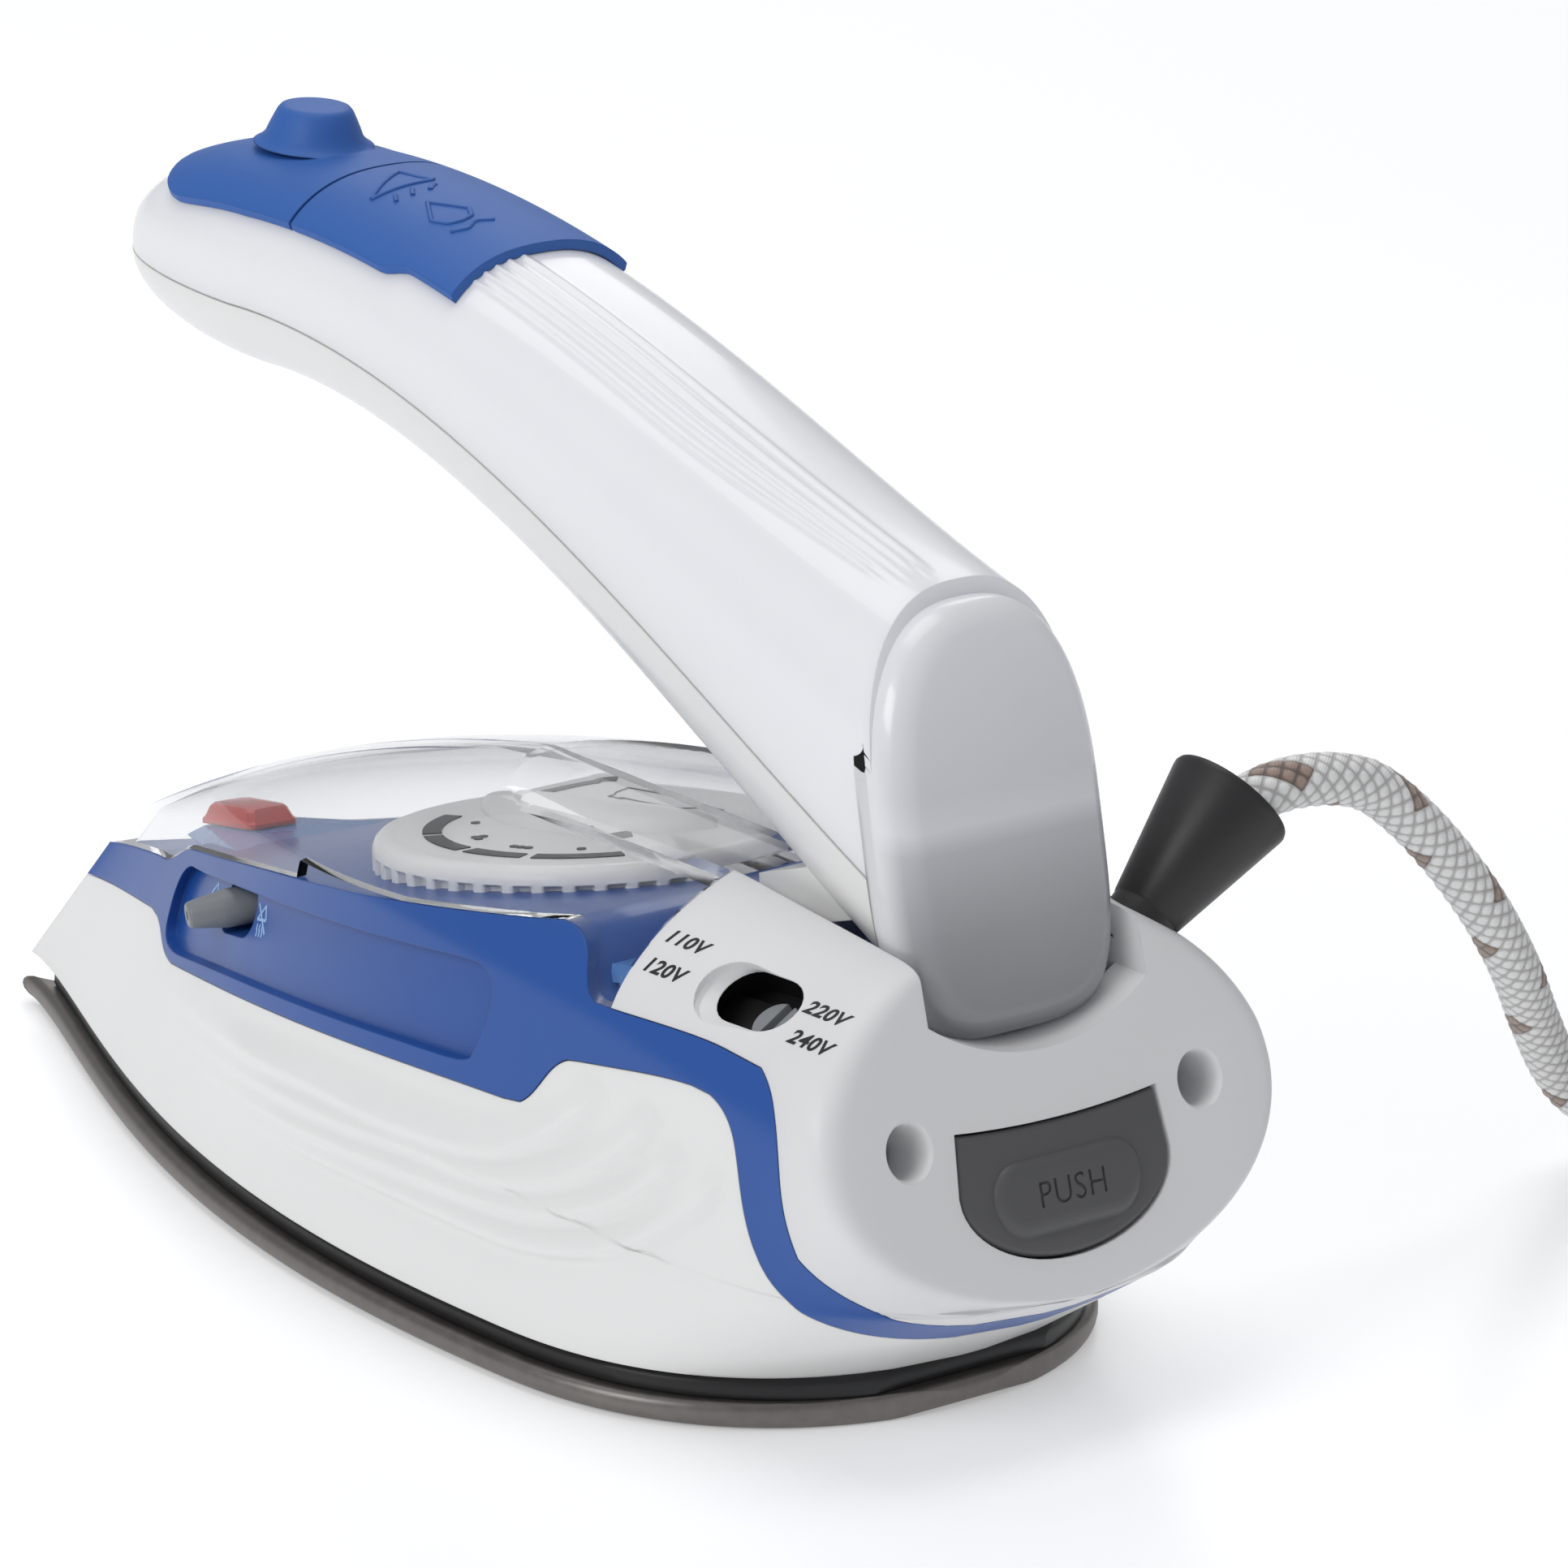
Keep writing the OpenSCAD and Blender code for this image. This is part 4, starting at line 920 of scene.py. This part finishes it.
def pad_rings(ts, thick=1.3, gap=0.06, edge=0.7, n=60):
    """A rubber skin on the tank between its two side lines, with a rounded edge."""
    rings = []
    for t in ts:
        a = pad_edge(t)
        f = np.linspace(a, 180 - a, n)
        d = np.minimum(f - a, 180 - a - f) * 17.5 * PI / 180
        h = thick - edge * (1 - np.sqrt(np.clip(1 - (1 - np.clip(d / edge, 0, 1)) ** 2, 0, 1)))
        rings.append(np.vstack([section(t, f, -h), section(t, f[::-1], -gap)]))
    return rings


pad = loft("filler_pad_skin", pad_rings(np.linspace(0.70, SLIT - 0.0018, 30)), 35)
flap_ts = np.r_[np.linspace(SLIT + 0.0018, 1.0, 8), np.linspace(1.0, 1.515, 34)[1:]]
flap = loft("filler_flap_skin", pad_rings(flap_ts), 35)
knob_prof = [(0.01, 122.3), (3.4, 122.3), (4.7, 125.4), (4.75, 126.2), (7.6, 126.2), (6.9, 126.6),
             (6.2, 127.3), (5.75, 128.4), (5.2, 129.6), (4.75, 130.5), (4.35, 130.95), (3.6, 131.1), (0.01, 131.1)]
cut(flap, lathe("knob", knob_prof, FILLER), op="UNION")
shade(flap, 40)
stands(pad, RUBBER, "handle", "blue_plastic", "filler_pad")
stands(flap, RUBBER, "flap", "blue_plastic", "filler_flap")


def pad_lines(name, lines, width=0.55, height=0.3, base=1.25):
    """Raised lines on the rubber; each is points of (mm forward, mm across) from a place (t, mm across)."""
    strips = []
    for line, (t0, y0) in lines:
        p = np.asarray(line, float)
        d = run(p)
        at = np.linspace(0, d[-1], max(4, int(d[-1] / 0.5)))
        p = np.stack([np.interp(at, d, p[:, k]) for k in (0, 1)], 1)
        rings = []
        for q, m in zip(p, normals(p)):
            ring = []
            for off, lift in ((0.5, -0.4), (0.5, 0.5), (0.25, 1), (-0.25, 1), (-0.5, 0.5), (-0.5, -0.4)):
                a, b = q + m * off * width
                f = math.degrees(math.acos(max(-1, min(1, (y0 + b) / 17.3))))
                ring.append(section(t0 + a / 124, np.array([f]), -(base + lift * height))[0])
            rings.append(ring)
        strips.append(loft("strip", rings, 40))
    return join(name, strips)


drop_line = [(3, 0), (-1, 2.6), (-3, 1.6), (-3.4, 0), (-3, -1.6), (-1, -2.6), (3, 0)]
wave = [(-4.4, -3), (-3.6, -1.2), (-4.8, 0.6), (-4, 2.6)]
spray = [[(-2, -4), (2.4, -3.2), (-2, 4), (-2, -4)], [(-3.4, -3.4), (-4.6, -2.4)], [(-3.4, -1), (-4.8, 0)],
         [(-3.4, 1.4), (-4.8, 2.4)]]
marks_on_pad = [(drop_line, (0.80, 3.5)), (wave, (0.795, 3.5))] + [(line, (0.885, 3.5)) for line in spray]
stands(pad_lines("pad_pictograms", marks_on_pad), RUBBER, "handle", "blue_plastic")

# ---- dial under the dome
DECK_A = math.radians(9.2)


def on_deck(origin):
    sin, cos = math.sin(DECK_A), math.cos(DECK_A)
    return frame_at(origin, (sin, 0, cos), (cos, 0, -sin))


DIAL = on_deck((-15.8, 0, 53.1))
DIAL_TOP = DIAL @ Matrix.Translation((0, 0, -0.12))


def dial_rim(teeth=44, per=14):
    """Rings of (radius, height) with notches cut into the flagged ones; per points to a tooth."""
    n = teeth * per
    k = (np.arange(n) % per) / per
    tooth = step(0.18, 0.30, k) * (1 - step(0.70, 0.82, k))
    prof = [(6.0, -6.3, 0), (26.5, -6.3, 0), (27.1, -6.0, 0), (27.3, -5.5, 0), (27.3, -5.0, 0),
            (27.3, -4.75, 1), (27.3, -2.5, 1), (27.3, -2.2, 0), (27.2, -1.5, 0), (26.9, -0.8, 0),
            (26.4, -0.3, 0), (25.7, -0.05, 0), (24.9, 0, 0), (24.2, -0.12, 0), (23.9, -0.12, 0), (12, -0.12, 0),
            (0.02, -0.12, 0)]
    return [at_height((r - 1.15 * notched * tooth)[:, None] * circle(n), z) for r, z, notched in prof]


def swept_strip(name, line, width, height, matrix, taper=0.0):
    """A rounded rib along a flat line in the matrix's plane."""
    p = np.asarray(line, float)
    size = 1 - taper * np.abs(2 * np.linspace(0, 1, len(p)) - 1) ** 3
    a = np.linspace(0, PI, 9)
    rings = []
    for q, m, k in zip(p, normals(p), size):
        y, z = width / 2 * k * np.cos(a), height * k * np.sin(a)
        low_part = np.c_[q + m * y[::-1, None][[0, -1]], [-0.3, -0.3]]
        rings.append(np.vstack([np.c_[q + m * y[:, None], z], low_part]))
    return place(loft(name, rings, 40), matrix)


def arc_line(r, a0, a1, n=24, centre=(0, 0)):
    a = np.radians(np.linspace(a0, a1, n))
    return np.stack([centre[0] + r * np.cos(a), centre[1] + r * np.sin(a)], 1)


dial = place(loft("temperature_dial_rim", dial_rim(), 30), DIAL)
fin_line = [(-17, -5), (-13, -1.2), (-7, 2.0), (0, 3.2), (8, 3.0), (15, 1.4), (21, -1.5)]
fin = swept_strip("dial_fin", route(fin_line, 6), 5.2, 3.6, DIAL_TOP, 0.75)
stands(dial, DIAL_WHITE, "dial", "white_plastic", "temperature_dial")
stands(fin, DIAL_WHITE, "dial", "white_plastic")

printed = []
for a0, a1 in ((18, 52), (56, 84), (88, 112), (116, 148), (-52, -10)):
    printed.append(slab(np.vstack([arc_line(21.0, a0, a1), arc_line(18.6, a0, a1)[::-1]]), -0.15, 0.03))
for r, a in ((15.2, 30), (15.2, 66), (14.2, 66), (15.2, 70), (15.2, 98), (15.2, 102), (15.2, 106),
             (15.2, 132)):
    dot = (r * math.cos(math.radians(a)), r * math.sin(math.radians(a)))
    printed.append(slab(0.6 * circle(12) + dot, -0.15, 0.03))
stands(place(join("dial_print", printed), DIAL), INK, "dial", "white_plastic")
iron_mark = [(-6, -9), (7, -9), (7.6, -13.2), (-9.4, -13.2), (-8.6, -10.8), (-6, -9)]
lines = [np.linspace(a, b, 6) for a, b in zip(iron_mark[:-1], iron_mark[1:])]
lines.append(arc_line(3.4, 20, 160, 20, (0, -9.4)))
icon = join("dial_icon", [swept_strip("mark", line, 0.42, 0.1, DIAL_TOP) for line in lines])
stands(icon, INK, "dial", "white_plastic")

# ---- lamp lens seen through the dome
rings = []
c = 0.7  # bevel of the lens corners
for x, y, z in ((5, 4, 0.0), (5, 4, 0.6), (4.7, 3.8, 0.9), (4.2, 3.4, 2.1), (3.8, 3.0, 2.5), (2.8, 2.2, 2.6)):
    rings.append([(-x + c, -y, z), (x - c, -y, z), (x, -y + c, z), (x, y - c, z), (x - c, y, z),
                  (-x + c, y, z), (-x, y - c, z), (-x, -y + c, z)])
lens = place(loft("lamp_lens", rings, 25), on_deck((47, 0, 35.6)))
stands(lens, LENS, "casing", "red_lens", "lamp_cover")

# ---- steam slider
slider_prof = [(0.01, -6.5), (2.0, -6.5), (2.0, -3), (2.45, -3), (2.45, 1.2), (2.35, 1.6), (1.72, 5.4),
               (1.6, 5.75), (1.4, 5.9), (0.75, 5.9), (0.62, 5.8), (0.62, 4.0), (0.01, 3.9)]
slider = lathe("steam_slider_knob", slider_prof, SLIDER_M, 48, 35)
stands(slider, GREY, "slider", "grey_plastic", "steam_slider")

# ---- voltage selector: a cap with a coin slot
CAP_AT = (-2.3, -0.35, 0)
cap = lathe("voltage_selector_cap", [(0.01, -5), (3.1, -5), (3.1, -2.9), (2.95, -2.7), (0.01, -2.7)],
            Matrix.Translation(CAP_AT), 64, 30)
cut(cap, place(box((-0.7, -6, -3.8), (0.7, 6, -2)), turned(-6, "Z", CAP_AT)))
stands(place(cap, WIN), GREY, "selector", "grey_plastic", "voltage_selector")

# ---- release button
button = place(loft("release_button_cap", [at_height(button_line(g), z) for g, z in (
    (0, -2.2), (0, -0.75), (-0.12, -0.35), (-0.4, -0.08), (-0.8, 0))], 35), FACE)


def bean(length, r, z, bend=0.8):
    """A long rounded pad across the face, slightly bent like the button's lower edge."""
    x, y, z = stadium_ring(length, r, z, 16).T
    return np.stack([-8.4 + y - bend + bend * (x / (length / 2)) ** 2, x, z], 1)


pad_levels = ((20.6, 2.7, 0.9), (22.2, 3.5, 0.82), (23.2, 4.0, 0.6), (24.0, 4.4, 0.25), (24.4, 4.6, -0.02),
              (24.4, 4.6, -0.6))
cut(button, place(loft("button_pad", [bean(*level) for level in pad_levels], 35), FACE), op="UNION")


def text_mesh(word, size, depth, bold=0.0, shear=0.0, spacing=1.0):
    """Letters as a closed mesh in mm, centred, in the XY plane from z -depth to depth."""
    curve = bpy.data.curves.new("letters", "FONT")
    for key, value in dict(body=word, size=size, extrude=depth, offset=bold, shear=shear, align_x="CENTER",
                           space_character=spacing, align_y="CENTER", resolution_u=4).items():
        setattr(curve, key, value)
    obj = link("letters", curve)
    bpy.context.view_layer.update()
    mesh = bpy.data.meshes.new_from_object(obj.evaluated_get(bpy.context.evaluated_depsgraph_get()))
    bpy.data.objects.remove(obj)
    bpy.data.curves.remove(curve)
    clean(mesh, 1e-4)
    mesh.transform(Matrix.Scale(MM, 4))
    return link("letters", mesh)


word = text_mesh("PUSH", 4.6, 0.28, -0.03, 0.0, 1.08)
cut(button, place(word, FACE @ frame_at((-8.9, 0, 0.9), (0, 0, 1), (0, -1, 0))))
shade(button, 35)
stands(button, BUTTON, "button", "button_plastic", "release_button")


# ---- printed marks
def flat_strip(line, width=0.5):
    """A thin flat strip along a line in the XY plane, in mm."""
    p = np.asarray(line, float)
    rings = [[(*(a + b), 0.1), (*(a - b), 0.1), (*(a - b), -0.1), (*(a + b), -0.1)]
             for a, b in zip(p, normals(p) * width / 2)]
    return loft("strip", rings, 0)


def steam_sign(crossed):
    """A small iron with three puffs of steam, crossed out or not."""
    lines = [[(-2.2, -0.2), (2.2, -0.2)], [(-2.2, -0.2), (1.0, 2.4)], [(1.0, 2.4), (2.2, -0.2)]]
    out = [flat_strip(line) for line in lines]
    for k in (-1.3, 0, 1.3):
        out.append(flat_strip([(k, -1.0), (k - 0.3, -1.7), (k + 0.2, -2.4), (k, -3.2)], 0.45))
    if crossed:
        out.append(flat_strip([(-2.8, 2.6), (2.8, -2.6)]))
    return join("sign", out)


def tree_of(obj):
    bm = bmesh.new()
    bm.from_mesh(obj.data)
    made = BVHTree.FromBMesh(bm)
    bm.free()
    return made


def on_surface(obj, origin, x_dir, normal, tree, lift=0.05, thick=0.14):
    """Lays a flat mesh on a curved face: each point drops onto it along the normal."""
    m = frame_at(origin, normal, x_dir)
    n = m.col[2].to_3d()
    low = min(v.co.z for v in obj.data.vertices)
    for v in obj.data.vertices:
        flat = Vector((v.co.x / MM, v.co.y / MM, 0))
        p = (m @ flat) * MM
        hit, _, _, _ = tree.ray_cast(p + n * 0.012, -n, 0.03)
        base = hit if hit is not None else p
        v.co = base + n * (lift * MM if v.co.z > low + 1e-7 else (lift - thick) * MM)


MARKS = (("110V", (-63.7, 29.7, 57.2)), ("120V", (-63.7, 33.2, 54.4)),
         ("220V", (-87.1, 28.5, 54.5)), ("240V", (-88.0, 31.9, 51.9)))
house_tree, band_tree = tree_of(house), tree_of(band)
labels = []
for word, at in MARKS:
    label = text_mesh(word, 2.75, 0.1, 0.07, 0.28, 1.06)
    on_surface(label, at, (-0.98, -0.02, 0.05), (-0.03, 0.64, 0.77), house_tree)
    labels.append(label)
stands(join("voltage_marks", labels), INK, "casing", "white_plastic")

signs = []
for crossed, at in ((False, (36.9, 18.8, 31.6)), (True, (18.9, 26.0, 35.1))):
    sign = steam_sign(crossed)
    sign.data.transform(Matrix.Scale(0.66, 4))
    on_surface(sign, at, (-0.86, 0.46, 0.21), (0.46, 0.87, -0.17), band_tree, 0.04, 0.12)
    signs.append(sign)
stands(join("steam_signs", signs), PALE, "casing", "blue_plastic")

# ---- cord guard, plug and pieces kept from the CAD
guard_prof = [(3.45, -3.4), (4.4, -3.4), (4.4, 0.2), (4.55, 0.4), (8.05, 17.6), (8.1, 18.1), (7.95, 18.5),
              (7.6, 18.6), (7.25, 18.45), (7.05, 18.0), (3.75, 3.2), (3.45, 2.6)]
guard = lathe("cord_guard_cone", guard_prof, GUARD_M, 72, 35, loop=True)
stands(guard, GUARD, "casing", "black_plastic", "cord_guard")


def round_box_ring(w, h, z, r=4.0, n=8):
    """A rounded rectangle at height z: half-width w across X, half-height h across Y."""
    out = []
    for cx, cy, a0 in ((w - r, h - r, 0), (-w + r, h - r, 90), (-w + r, -h + r, 180), (w - r, -h + r, 270)):
        for q in np.radians(np.linspace(a0, a0 + 90, n)):
            out.append((cx + r * math.cos(q), cy + r * math.sin(q), z))
    return out


plug_rings = []
for k in np.linspace(0, 1, 37):
    r = 3.75 + 1.7 * k - (0.45 if int(k * 36) % 4 in (1, 2) and k < 0.95 else 0)
    plug_rings.append(round_box_ring(r, r, 14 * k, r * 0.98))
plug_rings += [round_box_ring(w, h, z, r) for w, h, z, r in
               ((7.2, 9.0, 14.3, 4.5), (8.2, 10.6, 15.2, 5), (8.8, 12.0, 17.5, 5), (9, 12.5, 21, 5),
                (8.7, 12.1, 24.5, 5), (8.5, 11.8, 30, 5), (8.8, 12.3, 36, 5), (9, 12.5, 41, 4.5),
                (8.9, 12.4, 43, 4.5), (8.4, 11.9, 44, 4.2))]
plug = loft("plug_body", plug_rings, 35)
PLUG_A = math.radians(197.4)
place(plug, frame_at(PLUG_P, (math.cos(PLUG_A), math.sin(PLUG_A), 0), (0, 0, 1)))
stands(plug, BLACK, "casing", "black_plastic", "plug")

drop(body)
for mat, names in (
        (STEEL, "heating_element sole_screws thermal_fuse valve_needle housing_screws button_spring hinge_pin"),
        (WHITE, "latch_hook hinge_barrel cord_clamp"), (CERAMIC, "thermostat terminal_block"),
        (HOSE, "drip_valve water_hose"), (BLACK, "voltage_switch coil_tie"), (DIAL_WHITE, "dial_shaft"),
        (DECK, "top_deck"), (SHEET, "steam_cover"), (LAMP, "neon_lamp"), (WIRE, "lead_wires"),
        (PLATED, "plug_pins")):
    for node in names.split():
        dress(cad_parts[node], mat)

floor_mat, tree, bsdf = nodes_of("floor")
tree.links.new(ramp(tree, noise(tree, 3, 4), [(0.3, (0.83, 0.835, 0.84)), (0.7, (0.85, 0.855, 0.86))]),
               bsdf.inputs["Base Color"])
fill(bsdf, Roughness=0.35, Emission_Color=(1, 1, 1, 1), Emission_Strength=0.30)
floor = slab([(-9000, -9000), (9000, -9000), (9000, 9000), (-9000, 9000)], -0.15, -6)
floor.name = "floor_plane"
dress(floor, floor_mat)


def area(name, at, aim, size, power, size_y=None):
    light = bpy.data.lights.new(name, "AREA")
    light.energy = power
    light.size = size
    if size_y:
        light.shape = "RECTANGLE"
        light.size_y = size_y
    obj = link(name, light)
    obj.location = at
    obj.rotation_euler = (Vector(aim) - Vector(at)).to_track_quat("-Z", "Y").to_euler()


area("key_side", (-0.15, 1.5, 0.95), (-0.02, 0, 0.06), 0.9, 9, size_y=0.6)
area("top_soft", (0.25, 0.0, 1.6), (0, 0, 0.05), 1.1, 8)
area("far_strip", (0.9, -0.9, 0.9), (0, 0, 0.08), 0.7, 3)
world = bpy.data.worlds.new("world")
scene.world = world
world.use_nodes = True
fill(world.node_tree.nodes["Background"], Color=(0.95, 0.96, 1.0, 1), Strength=0.42)
scene.view_settings.view_transform = "Standard"

cam_data = bpy.data.cameras.new("camera")
cam_data.lens, cam_data.sensor_width, cam_data.clip_start = 268.8, 36, 0.05
cam = link("camera", cam_data)
CAM_DISTANCE = 1.32813
back = Vector((-0.678, 0.670, 0.304)).normalized()
right = Vector((0.2645, -0.164, 0.951)).cross(back).normalized()
turn = Matrix((right, back.cross(right).normalized(), back)).transposed().to_4x4()
target = Vector((-0.10744, 0.05823, 0.09388))
cam.matrix_world = Matrix.Translation(target + back * CAM_DISTANCE) @ turn
scene.camera = cam
